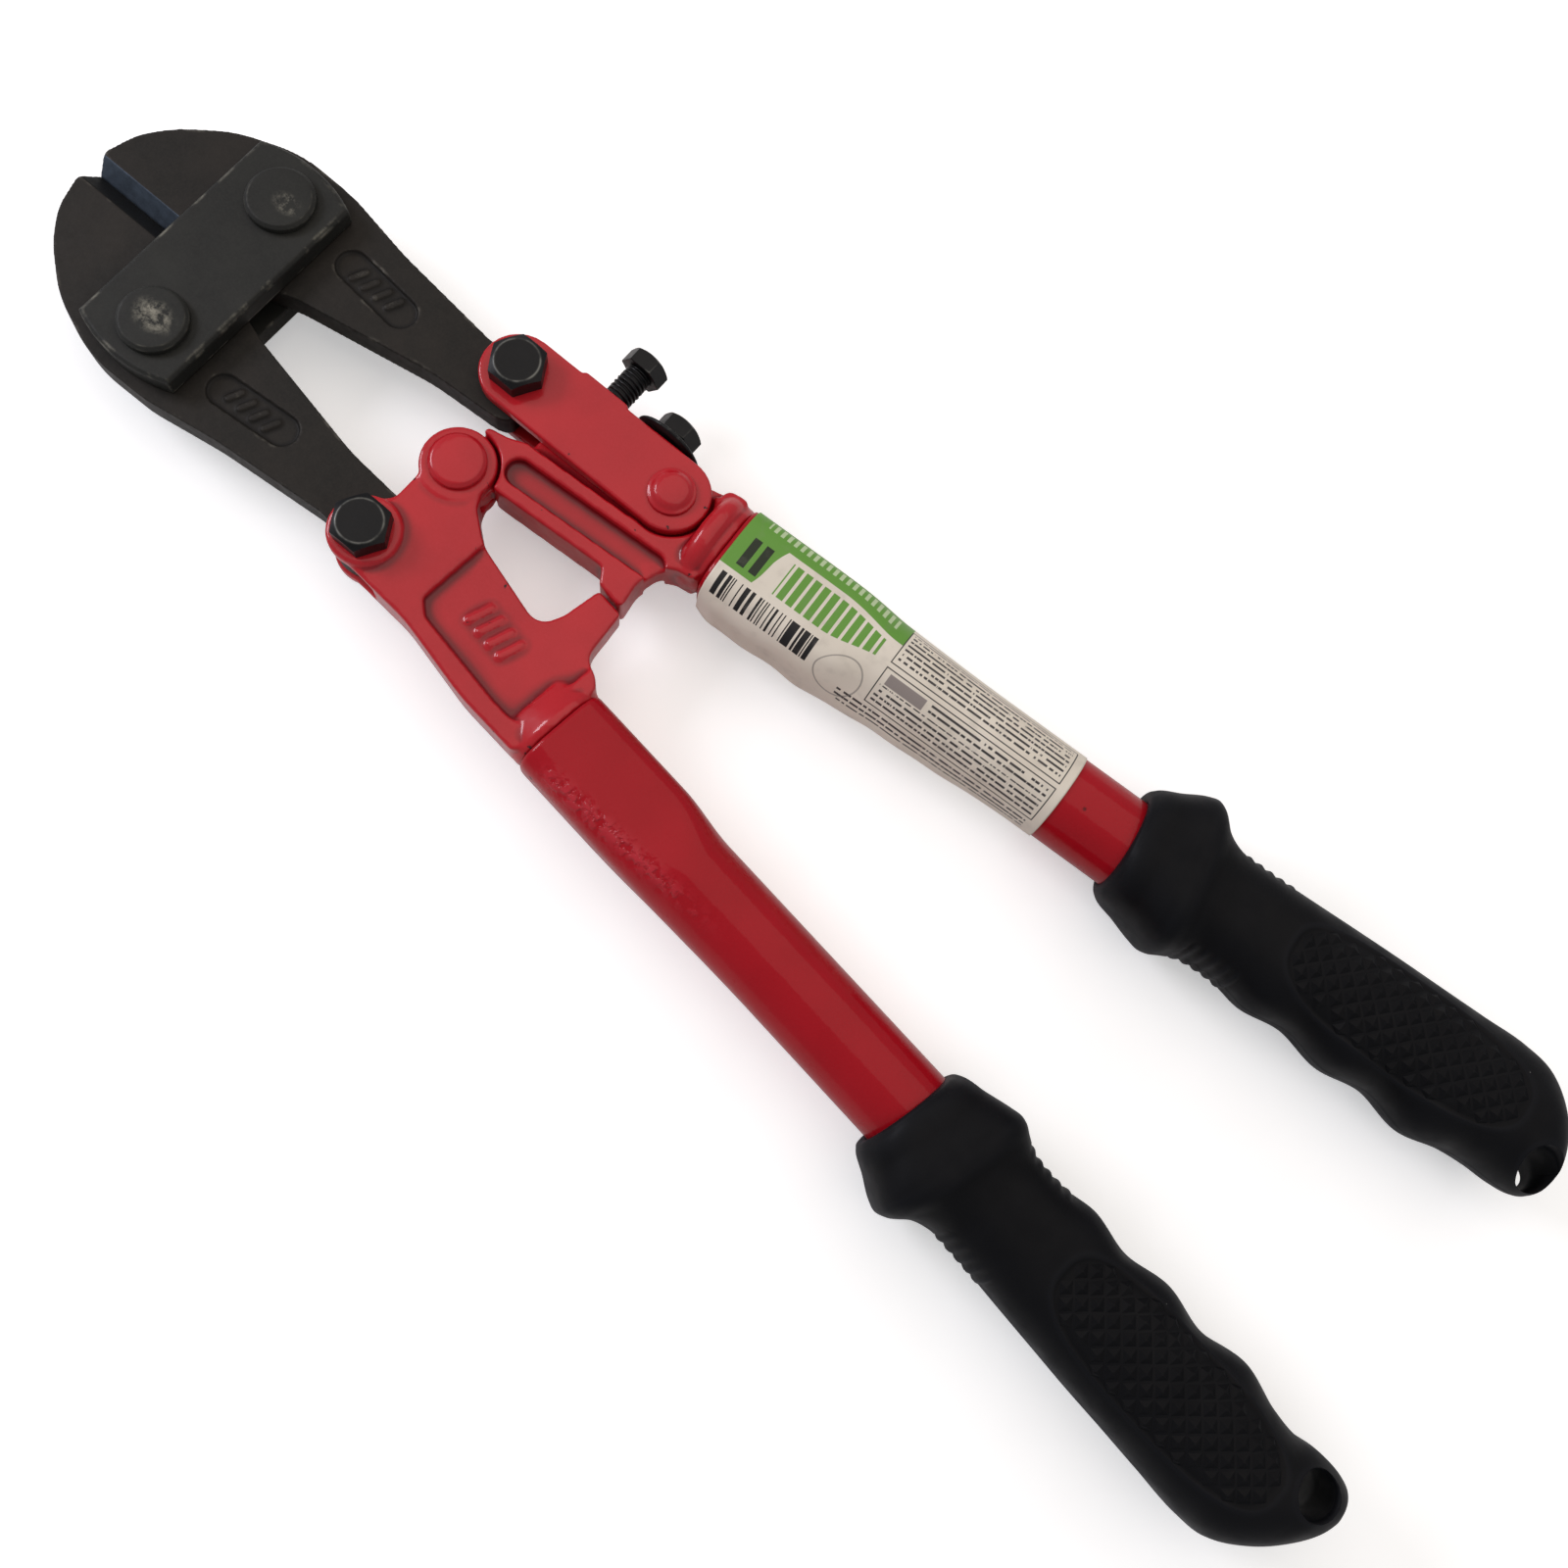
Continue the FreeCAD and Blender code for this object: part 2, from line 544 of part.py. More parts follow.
def make_adjustable_casting():
    """The casting of the upper handle: centre tongue, channelled beam, rib inside the lever."""
    seam = handle_placement("upper")
    low = seam.multVec(vec(-1.0, -val("flat_half_width") + 0.2))
    high = seam.multVec(vec(-2.0, val("flat_half_width") - 0.2))
    clear = val("ear_radius") + val("part_gap")
    gap = val("stop_gap") / 2
    pin_x, pin_y = lever_pin
    well = val("lever_half_width") + val("part_gap")

    def round_ear(degrees):
        angle = math.radians(degrees)
        return (clear * math.cos(angle), clear * math.sin(angle))

    beam = [round_ear(5), round_ear(20), round_ear(35), round_ear(50), round_ear(65), round_ear(81),
            round_ear(97), (-0.7, 9.2, 0.8), (3.2, 10.0, 3.0), (6.6, 11.5, 3.0), (30.0, 13.1, 2.0),
            (pin_x, pin_y - well + 0.5), (pin_x, pin_y + 4.0), (pin_x + well - 1.0, pin_y + 5.6),
            (high.x - 5.0, high.y - 0.6, 2.0), (high.x, high.y, 1.0), (low.x, low.y, 1.0),
            (low.x - 3.6, low.y - 0.5, 3.0), (41.2, 9.3, 4.0), (39.9, 4.0, 4.0),
            (40.8, -1.7 + gap, 0.8), (34.8, -0.8 + gap, 0.8), (32.9, 2.3, 0.8), (8.6, 0.6)]
    name = "adjustable_casting"
    body = new_body(name + "_body")
    pad(body, "beam_web", "-Sizes.face_half", "2 * Sizes.face_half", edges=rounded(beam))
    pocket(body, "beam_well_front", "Sizes.face_half", "Sizes.face_half - " + JAW_HALF,
           circle=(lever_pin, "Sizes.lever_half_width + Sizes.part_gap"))
    pocket(body, "beam_well_back", "-" + JAW_HALF, "Sizes.face_half - " + JAW_HALF,
           circle=(lever_pin, "Sizes.lever_half_width + Sizes.part_gap"))
    rib = [(7.6, 10.8), (7.6, casting_rib, 1.0), (30.0, casting_rib, 2.0), (32.5, casting_rib + 2.2, 2.0),
           (high.x - 4.0, high.y - 1.2), (high.x - 4.0, 10.8)]
    pad(body, "beam_rib", "-" + JAW_HALF, "Sizes.jaw_thick", edges=rounded(rib))
    neck = [(0.0, -5.0), (6.0, 0.8, 1.0), (10.5, 1.6), (10.5, 9.5), (0.0, 8.6, 1.0), (-4.0, 5.0)]
    pad(body, "beam_neck", "-Sizes.tongue_half", "2 * Sizes.tongue_half", edges=rounded(neck))
    pad(body, "beam_tongue", "-Sizes.tongue_half", "2 * Sizes.tongue_half",
        circle=((0, 0), "Sizes.ear_radius"))
    channel = stadium((9.4, 6.2), (39.4, 8.5), val("channel_half_width"))
    both_faces(body, "beam_channel", "Sizes.face_half", "Sizes.channel_depth", channel)
    pocket(body, "beam_centre_hole", "Sizes.face_half", "2 * Sizes.face_half",
           circle=((0, 0), "Sizes.centre_rivet_radius + Sizes.pin_play"))
    pocket(body, "beam_pin_hole", "Sizes.face_half", "2 * Sizes.face_half",
           circle=(lever_pin, "Sizes.lever_rivet_radius"))
    swell = shoulder("beam_shoulder", seam, 6.0, val("face_half"))
    wide, tall = val("collar_half_width"), val("collar_half_height")
    ring = [(-6.2, wide - 1.4, 0, tall - 1.5), (-5.2, wide - 0.3, 0, tall - 0.3), (-3.8, wide, 0, tall),
            (-2.6, wide - 0.3, 0, tall - 0.3), (-1.8, wide - 1.2, 0, tall - 1.2)]
    collar = loft("beam_collar", seam, ring, True)
    whole = join("adjustable_blank", body, swell, collar, tang("beam_tang", seam))
    tap = cylinder("lock_tap", "Sizes.screw_radius + Sizes.pin_play", "Sizes.lock_bolt_grip + 0.4",
                   (val("lock_bolt_ahead"), casting_rib + 0.05, 0), axis=(0, -1, 0))
    finish(cut(name, whole, tap), name)


def make_lever():
    """The adjusting lever: two cheeks joined by a web along the outer side."""
    name = "adjusting_lever"
    body = new_body(name + "_body")
    pad(body, "lever_blank", "-" + CHEEK_FACE, "2 * " + CHEEK_FACE,
        edges=stadium(toggle, lever_pin, val("lever_half_width")))
    start, end = val("lever_web_start"), val("lever_web_end")
    step_end = start + val("lever_step_length")
    step = [(start + 0.6, web_inner), (start + 0.6, lever_outer + 0.8, 0.7),
            (step_end, lever_outer + 0.8, 0.7), (step_end, web_inner)]
    pad(body, "lever_step", "-" + CHEEK_FACE, "2 * " + CHEEK_FACE, edges=rounded(step))
    far = 30.0
    slot = [(toggle[0] - far, -5.0), (lever_pin[0] + far, -5.0), (lever_pin[0] + far, lever_outer + far),
            (end, lever_outer + far), (end, web_inner, 1.0), (start, web_inner, 1.0),
            (start, lever_outer + far), (toggle[0] - far, lever_outer + far)]
    pocket(body, "lever_slot", SLOT_HALF, "2 * " + SLOT_HALF, edges=rounded(slot))
    pocket(body, "lever_toggle_hole", CHEEK_FACE, "2 * " + CHEEK_FACE,
           circle=(toggle, "Sizes.toggle_bolt_radius"))
    pocket(body, "lever_pin_hole", CHEEK_FACE, "2 * " + CHEEK_FACE,
           circle=(lever_pin, "Sizes.lever_rivet_radius + Sizes.pin_play"))
    depth = "Sizes.lever_web + 1.6"
    base = web_inner - 0.4
    tap = cylinder("push_tap", "Sizes.screw_radius + Sizes.pin_play", depth,
                   (val("push_screw_ahead"), base, 0), axis=(0, 1, 0))
    clearance = cylinder("lock_clearance", "Sizes.screw_radius + 0.4", depth,
                         (val("lock_bolt_ahead"), base, 0), axis=(0, 1, 0))
    finish(cut(name, body, tap, clearance), name)


# ---------------------------------------------------------------- tubes, grips and label

def tube_stations(start, end, offset):
    """Flattened at the casting, round from there on. Offset is added to the outer size."""
    flat, blend = val("flat_length"), val("flat_blend")
    wide, tall, radius = val("flat_half_width"), val("flat_half_height"), val("tube_radius")
    stations = []
    for along in (start, flat, flat + blend, end):
        share = min(max((along - flat) / blend, 0.0), 1.0)
        stations.append((along, wide + (radius - wide) * share + offset, 0,
                         tall + (radius - tall) * share + offset))
    return stations


def make_tube(name, placement):
    end = val("tube_visible") + val("tube_in_grip")
    outer = loft(name + "_outer", placement, tube_stations(0.0, end, 0.0), True)
    inner = loft(name + "_inner", placement, tube_stations(-0.5, end + 0.5, -val("tube_wall")), True)
    finish(cut(name, outer, inner), name)


def make_label(name, placement):
    start, end = 0.8, 0.8 + val("label_length")
    outer = loft(name + "_outer", placement, tube_stations(start, end, val("label_thick")), True)
    inner = loft(name + "_inner", placement, tube_stations(start - 0.5, end + 0.5, 0.02), True)
    finish(cut(name, outer, inner), name)


def grip_stations(side):
    """Ellipses of a grip: outer guard, three finger bumps inside, palm swell outside, round butt."""
    length, guard, half = val("grip_length"), val("guard_half_height"), val("grip_half_height")
    table = [                       # along, outer side, inner side, half height
        (0.0, 10.9, 10.9, 10.7), (3.2, 13.0, 11.4, 11.4), (9.4, 16.2, 12.6, guard),
        (14.2, 12.6, 13.6, guard - 0.8), (19.0, 11.3, 11.3, half), (27.0, 11.4, 10.7, half),
        (33.0, 11.6, 11.5, half), (41.0, 11.9, 10.8, half), (52.6, 12.4, 12.4, half),
        (61.0, 12.6, 11.3, half), (71.8, 13.0, 13.0, half + 0.5), (79.0, 13.2, 11.6, half + 0.4),
        (length - 11.0, 12.2, 11.0, half), (length - 6.0, 8.6, 11.3, half - 1.6),
        (length - 2.2, 3.4, 10.6, half - 4.0), (length, -1.4, 8.4, 3.2),
    ]
    return [(along, (outer + inner) / 2, side * (outer - inner) / 2, tall)
            for along, outer, inner, tall in table]


def make_grip(name, placement, side):
    """A moulded grip pushed over the tube, with a hole to hang it by."""
    mouth = placement * FreeCAD.Placement(vec(val("tube_visible"), 0), FreeCAD.Rotation())
    skin = loft(name + "_skin", mouth, grip_stations(side), False)
    bore = doc.addObject("Part::Cylinder", name + "_bore")
    bore.setExpression("Radius", "Sizes.tube_radius + 0.02")
    bore.setExpression("Height", "Sizes.tube_in_grip + 2.5")
    bore.Placement = mouth * FreeCAD.Placement(vec(-2.0, 0), FreeCAD.Rotation(vec(0, 0, 1), vec(1, 0, 0)))
    hole = doc.addObject("Part::Cylinder", name + "_hole")
    hole.setExpression("Radius", "Sizes.hang_hole_radius")
    hole.setExpression("Height", "2 * Sizes.guard_half_height + 4")
    along = val("grip_length") - val("hang_hole_back")
    spot = vec(along, side * val("hang_hole_side"), -val("guard_half_height") - 2)
    hole.Placement = mouth * FreeCAD.Placement(spot, FreeCAD.Rotation())
    finish(cut(name, skin, bore, hole), name)


def make_handles():
    for prefix, side in (("upper", 1), ("lower", -1)):
        placement = handle_placement(prefix)
        make_tube(prefix + "_tube", placement)
        make_grip(prefix + "_grip", placement, side)
    make_label("label_sleeve", handle_placement("upper"))


# ---------------------------------------------------------------- the whole tool

def check_document():
    """Stops on any failed object or unsound shape, before anything is written."""
    doc.recompute()
    for item in doc.Objects:
        if "Invalid" in item.State or "Error" in item.State:
            raise RuntimeError("%s failed: %s" % (item.Label, item.State))
    for name, piece in finished:
        if piece.Shape.isNull() or not piece.Shape.isValid() or not piece.Shape.Solids:
            raise RuntimeError("%s has no sound shape" % name)


def settle_origin():
    """Moves every piece so that the origin is under the middle of the tool."""
    box = FreeCAD.BoundBox()
    for name, piece in finished:
        box.add(piece.Shape.optimalBoundingBox(False))
    shift = FreeCAD.Placement(vec(-box.Center.x, -box.Center.y, -box.ZMin), FreeCAD.Rotation())
    for name, piece in finished:
        piece.Placement = shift * piece.Placement
    print("centre pivot in the finished frame: %.4f %.4f %.4f" % tuple(shift.Base))
    print("size: %.2f x %.2f x %.2f" % (box.XLength, box.YLength, box.ZLength))


make_head()
make_toggle_bolt("upper_toggle", 1)
make_toggle_bolt("lower_toggle", -1)
make_fixed_casting()
make_adjustable_casting()
make_lever()
make_adjusters()
rivet("centre_rivet", val("centre_rivet_radius"), val("centre_head_radius"), ear_face,
      val("centre_head_height"), (0, 0, 0))
rivet("lever_rivet", val("lever_rivet_radius"), val("lever_head_radius"), cheek_face + 0.1,
      val("lever_head_height"), (lever_pin[0], lever_pin[1], 0), dome=True)
make_handles()
check_document()
settle_origin()
check_document()

os.makedirs("parts", exist_ok=True)
for name, piece in finished:
    piece.Shape.exportStep("parts/%s.step" % name)
print("wrote %d pieces" % len(finished))
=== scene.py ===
import json
import math

import bmesh
import bpy
import numpy as np
from mathutils import Matrix, Vector


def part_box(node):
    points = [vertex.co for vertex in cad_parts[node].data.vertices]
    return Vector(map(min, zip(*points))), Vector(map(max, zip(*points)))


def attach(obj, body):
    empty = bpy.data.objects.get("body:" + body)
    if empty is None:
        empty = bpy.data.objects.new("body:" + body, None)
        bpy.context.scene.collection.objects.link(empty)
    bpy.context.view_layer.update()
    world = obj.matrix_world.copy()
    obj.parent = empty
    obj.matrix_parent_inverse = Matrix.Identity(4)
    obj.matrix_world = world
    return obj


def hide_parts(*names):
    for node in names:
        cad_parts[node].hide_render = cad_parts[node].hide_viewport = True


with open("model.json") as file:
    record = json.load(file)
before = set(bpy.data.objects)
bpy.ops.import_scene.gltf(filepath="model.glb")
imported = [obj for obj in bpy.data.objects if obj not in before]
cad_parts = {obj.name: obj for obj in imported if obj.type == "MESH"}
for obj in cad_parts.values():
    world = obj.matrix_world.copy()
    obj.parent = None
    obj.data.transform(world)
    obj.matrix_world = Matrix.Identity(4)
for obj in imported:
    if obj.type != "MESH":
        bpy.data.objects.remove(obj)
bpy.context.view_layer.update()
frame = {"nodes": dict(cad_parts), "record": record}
record = frame["record"]
pivots = {joint["name"]: Vector(joint["pos_m"]) for joint in record["behaviour"]["joints"]}
centrePivot = pivots["handle_fold"]          # middle of the centre rivet, on the tool's mid-plane
bodyOf = {node: body for body, nodes in record["behaviour"]["bodies"].items() for node in nodes}
slotOf = {part["node"]: part["material_slot"] for part in record["subparts"]}
mm = 0.001
print("frame loaded:", len(frame["nodes"]), "nodes")


# helpers for nodes and meshes

def linearColour(hexCode):
    channels = [int(hexCode[i:i + 2], 16) / 255 for i in (1, 3, 5)]
    return tuple(c / 12.92 if c <= 0.04045 else ((c + 0.055) / 1.055) ** 2.4 for c in channels) + (1.0,)


def addNode(tree, kind, settings=None, links=None):
    # settings: node properties, and input values by socket name or number; links: input -> output socket
    node = tree.nodes.new(kind)
    for key, value in (settings or {}).items():
        if isinstance(key, str) and hasattr(node, key):
            setattr(node, key, value)
        else:
            node.inputs[key].default_value = value
    for key, socket in (links or {}).items():
        tree.links.new(socket, node.inputs[key])
    return node


def throughNodes(tree, socket, steps):
    # passes a value through one node after another; each step is (kind, settings)
    for kind, settings in steps:
        socket = addNode(tree, kind, settings, {0: socket}).outputs[0]
    return socket


def attributeSockets(tree, *names):
    return [addNode(tree, "ShaderNodeAttribute", {"attribute_name": name}).outputs["Fac"] for name in names]


def newMaterial(name, settings):
    # a material with one Principled shader; settings are the values that are the same all over
    material = bpy.data.materials.new(name)
    material.use_nodes = True
    tree = material.node_tree
    tree.nodes.clear()
    shader = addNode(tree, "ShaderNodeBsdfPrincipled", settings)
    addNode(tree, "ShaderNodeOutputMaterial", links={"Surface": shader.outputs[0]})
    return material, tree, shader


def placePiece(name, mesh, node, material):
    # a finished mesh that stands for a CAD node: it rides on the node's body
    piece = bpy.data.objects.new(name, mesh)
    bpy.context.collection.objects.link(piece)
    mesh.materials.clear()
    mesh.materials.append(material)
    mesh.shade_smooth()
    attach(piece, bodyOf[node])
    return piece


def evaluatedMesh(piece):
    # the mesh with its modifiers in it; the object that carried them is removed
    graph = bpy.context.evaluated_depsgraph_get()
    graph.update()
    mesh = bpy.data.meshes.new_from_object(piece.evaluated_get(graph))
    bpy.data.objects.remove(piece)
    return mesh


def looseObject(name, mesh):
    piece = bpy.data.objects.new(name, mesh)
    bpy.context.collection.objects.link(piece)
    return piece


def coordinates(mesh):
    places = np.empty(len(mesh.vertices) * 3)
    mesh.vertices.foreach_get("co", places)
    return places.reshape(-1, 3)


def setCoordinates(mesh, places):
    mesh.vertices.foreach_set("co", np.ascontiguousarray(places, dtype=np.float32).ravel())
    mesh.update()


def vertexNormals(mesh):
    normals = np.empty(len(mesh.vertices) * 3)
    mesh.vertex_normals.foreach_get("vector", normals)
    return normals.reshape(-1, 3)


def storeValue(mesh, name, values):
    attribute = mesh.attributes.new(name, "FLOAT", "POINT")
    attribute.data.foreach_set("value", np.asarray(values, dtype=np.float32))


def storeRelief(mesh, spread, rounds, name="relief"):
    # above zero on outer edges and below zero in inner corners and channels; more rounds look further round
    places = coordinates(mesh)
    edges = np.empty(len(mesh.edges) * 2, dtype=np.int64)
    mesh.edges.foreach_get("vertices", edges)
    edges = edges.reshape(-1, 2)
    normals = vertexNormals(mesh)
    counts = np.maximum(np.bincount(edges.ravel(), minlength=len(places)), 1)

    def average(values):
        total = np.bincount(edges[:, 0], values[edges[:, 1]], len(places))
        return (total + np.bincount(edges[:, 1], values[edges[:, 0]], len(places))) / counts

    relief = np.zeros(len(places))
    for axis in range(3):
        smooth = places[:, axis]
        for _ in range(rounds):
            smooth = average(smooth)
        relief += (places[:, axis] - smooth) * normals[:, axis] / spread
    for _ in range(2):
        relief = (relief + average(relief)) / 2
    storeValue(mesh, name, np.clip(relief, -1, 1))


def softCopy(node, voxel, passes):
    # a copy of a CAD node with its edges rounded as casting, forging or tumbling leaves them
    # voxel is in mm; passes is how far the edges are rounded
    build = bmesh.new()
    build.from_mesh(frame["nodes"][node].data)
    bmesh.ops.remove_doubles(build, verts=build.verts, dist=0.002 * mm)
    bmesh.ops.transform(build, matrix=Matrix.Scale(1 / mm, 4), verts=build.verts)
    mesh = bpy.data.meshes.new(node + "Blank")
    build.to_mesh(mesh)
    build.free()
    blank = looseObject(node + "Blank", mesh)
    remesh = blank.modifiers.new("even", "REMESH")
    remesh.mode = "VOXEL"
    remesh.voxel_size = voxel
    remesh.adaptivity = 0.0
    soften = blank.modifiers.new("soften", "SMOOTH")
    soften.factor = 0.5
    soften.iterations = passes
    mesh = evaluatedMesh(blank)
    mesh.transform(Matrix.Scale(mm, 4))
    return mesh


def ringMesh(name, rings, startPole=None, endPole=None, joined=False):
    # a skin through closed rings of points; a pole closes an end, joined closes the last ring to the first
    count, around = rings.shape[:2]
    vertices = [tuple(p) for p in rings.reshape(-1, 3)]
    faces = []
    for i in range(count if joined else count - 1):
        a, b = i * around, ((i + 1) % count) * around
        for j in range(around):
            k = (j + 1) % around
            faces.append((a + j, a + k, b + k, b + j))
    for pole, first in ((startPole, 0), (endPole, (count - 1) * around)):
        if pole is not None:
            vertices.append(tuple(pole))
            faces += [(first + j, first + (j + 1) % around, len(vertices) - 1) for j in range(around)]
    mesh = bpy.data.meshes.new(name)
    mesh.from_pydata(vertices, [], faces)
    build = bmesh.new()
    build.from_mesh(mesh)
    bmesh.ops.recalc_face_normals(build, faces=build.faces)
    build.to_mesh(mesh)
    build.free()
    return mesh


def curveThrough(knots, values, places):
    # smooth values at places, through values given at rising knots
    knots, values = np.asarray(knots, float), np.asarray(values, float)
    slopes = np.gradient(values, knots, axis=0)
    i = np.clip(np.searchsorted(knots, places, side="right") - 1, 0, len(knots) - 2)
    gap = knots[i + 1] - knots[i]
    t = (places - knots[i]) / gap
    shape = (-1,) + (1,) * (values.ndim - 1)
    t, gap = t.reshape(shape), gap.reshape(shape)
    return ((2 * t ** 3 - 3 * t ** 2 + 1) * values[i] + (t ** 3 - 2 * t ** 2 + t) * gap * slopes[i]
            + (3 * t ** 2 - 2 * t ** 3) * values[i + 1] + (t ** 3 - t ** 2) * gap * slopes[i + 1])


def smoothStep(values, low, high):
    t = np.clip((values - low) / (high - low), 0, 1)
    return t * t * (3 - 2 * t)


# materials

def mottle(tree, place, size, low=0.3, high=0.7, most=1.0, least=0.0, detail=3.0, rough=0.5):
    # soft random patches about size mm across; least below the low threshold, most above the high one
    noise = addNode(tree, "ShaderNodeTexNoise",
                    {"Scale": 1 / (size * mm), "Detail": detail, "Roughness": rough}, {"Vector": place})
    span = {"From Min": low, "From Max": high, "To Min": least, "To Max": most}
    return addNode(tree, "ShaderNodeMapRange", span, {"Value": noise.outputs["Fac"]}).outputs[0]


def layerColours(tree, first, layers):
    # paints each (share, colour) layer over the one before; a colour is a hex code or a socket
    colour = first
    for share, over in layers:
        values, links = {"data_type": "RGBA"}, {0: share}
        for key, item in ((6, colour), (7, over)):
            if isinstance(item, str):
                values[key] = linearColour(item)
            else:
                links[key] = item
        colour = addNode(tree, "ShaderNodeMix", values, links).outputs[2]
    return colour


def specks(tree, place, spacing, share, radius):
    # a few small round spots: in that share of the cells, radius is part of the spacing
    cells = addNode(tree, "ShaderNodeTexVoronoi", {"Scale": 1 / (spacing * mm)}, {"Vector": place})
    few = throughNodes(tree, cells.outputs["Color"], [
        ("ShaderNodeSeparateColor", None), ("ShaderNodeMath", {"operation": "GREATER_THAN", 1: 1 - share})])
    near = throughNodes(tree, cells.outputs["Distance"], [
        ("ShaderNodeMapRange", {"From Min": radius, "From Max": radius / 2})])
    return addNode(tree, "ShaderNodeMath", {"operation": "MULTIPLY"}, {0: few, 1: near}).outputs[0]


def enamel(name, look):
    # sprayed gloss enamel: deep red, a clear wet top, orange peel, dust pits, dark where it pooled or chipped,
    # painted shade in inner corners and deep channels, and paint crumbs painted lighter as a highlight
    material, tree, shader = newMaterial(name, {
        "IOR": 1.5, "Specular IOR Level": look["shine"], "Coat Weight": look["coat"],
        "Coat Roughness": look["coatRoughness"], "Coat IOR": 1.5})
    place = addNode(tree, "ShaderNodeTexCoord").outputs["Object"]
    relief, cavityShade, run = attributeSockets(tree, "relief", "cavityShade", "run")
    # painted shade and pooled paint: the inner corners and channels are painted darker, where paint gathers and
    # where shade falls
    pooledPaintAndShade = throughNodes(tree, relief, [
        ("ShaderNodeMapRange", {"From Min": -0.15, "From Max": -1.0, "To Max": look["pool"]})])
    # painted shade: deep channels, found by a wide relief, are painted darker still
    deepChannelShade = throughNodes(tree, cavityShade, [
        ("ShaderNodeMapRange", {"From Min": -0.2, "From Max": -0.8, "To Max": 0.6})])
    # chips: only on outer edges, where a coarse noise is high
    edge = throughNodes(tree, relief, [("ShaderNodeMapRange", {"From Min": 0.25, "From Max": 0.7})])
    knock = mottle(tree, place, 2.2, look["chipFrom"], look["chipFrom"] + 0.02, detail=4.0)
    chip = addNode(tree, "ShaderNodeMath", {"operation": "MULTIPLY"}, {0: edge, 1: knock})
    # a run of half-dried paint stands up in crumbs where the "run" attribute says
    crumbs = addNode(tree, "ShaderNodeMath", {"operation": "MULTIPLY"},
                     {0: run, 1: mottle(tree, place, 1.6, 0.4, 0.56)}).outputs[0]
    # painted highlight: the crumbs are painted lighter, as if they catch the light
    crumbGlint = throughNodes(tree, crumbs, [("ShaderNodeMath", {"operation": "MULTIPLY", 1: 0.45})])
    pit = specks(tree, place, look["pitSpacing"], look["pitShare"], 0.075)
    bare = addNode(tree, "ShaderNodeMath", {"operation": "MAXIMUM"}, {0: pit, 1: chip.outputs[0]}).outputs[0]
    colour = layerColours(tree, look["deep"], [
        (mottle(tree, place, 14.0), look["colour"]),
        (mottle(tree, place, 0.5, 0.4, 0.75, 0.14), look["light"]),
        (pooledPaintAndShade, look["pooledPaintAndShade"]), (deepChannelShade, look["pooledPaintAndShade"]), (crumbGlint, look["crumb"]), (bare, look["bare"])])
    tree.links.new(colour, shader.inputs["Base Color"])
    gloss = mottle(tree, place, 3.0, 0.3, 0.7, look["roughness"] + 0.1, look["roughness"])
    gloss = addNode(tree, "ShaderNodeMath", {"operation": "MULTIPLY_ADD", 1: 0.4}, {0: bare, 2: gloss})
    tree.links.new(gloss.outputs[0], shader.inputs["Roughness"])
    # orange peel about 1.3 mm across on a slower wave, then the crumbs, then the depth of the pits
    peel = addNode(tree, "ShaderNodeBump", {"Strength": look["peel"], "Distance": 0.06 * mm},
                   {"Height": mottle(tree, place, 1.3, 0.0, 1.0)})
    wave = addNode(tree, "ShaderNodeBump", {"Strength": look["wave"], "Distance": 0.5 * mm},
                   {"Height": mottle(tree, place, 6.0, 0.0, 1.0, detail=1.0), "Normal": peel.outputs[0]})
    crust = addNode(tree, "ShaderNodeBump", {"Strength": 0.9, "Distance": 0.3 * mm},
                    {"Height": crumbs, "Normal": wave.outputs[0]})
    holes = addNode(tree, "ShaderNodeBump", {"invert": True, "Strength": 0.8, "Distance": 0.12 * mm},
                    {"Height": bare, "Normal": crust.outputs[0]})
    tree.links.new(holes.outputs[0], shader.inputs["Normal"])
    tree.links.new(crust.outputs[0], shader.inputs["Coat Normal"])
    return material


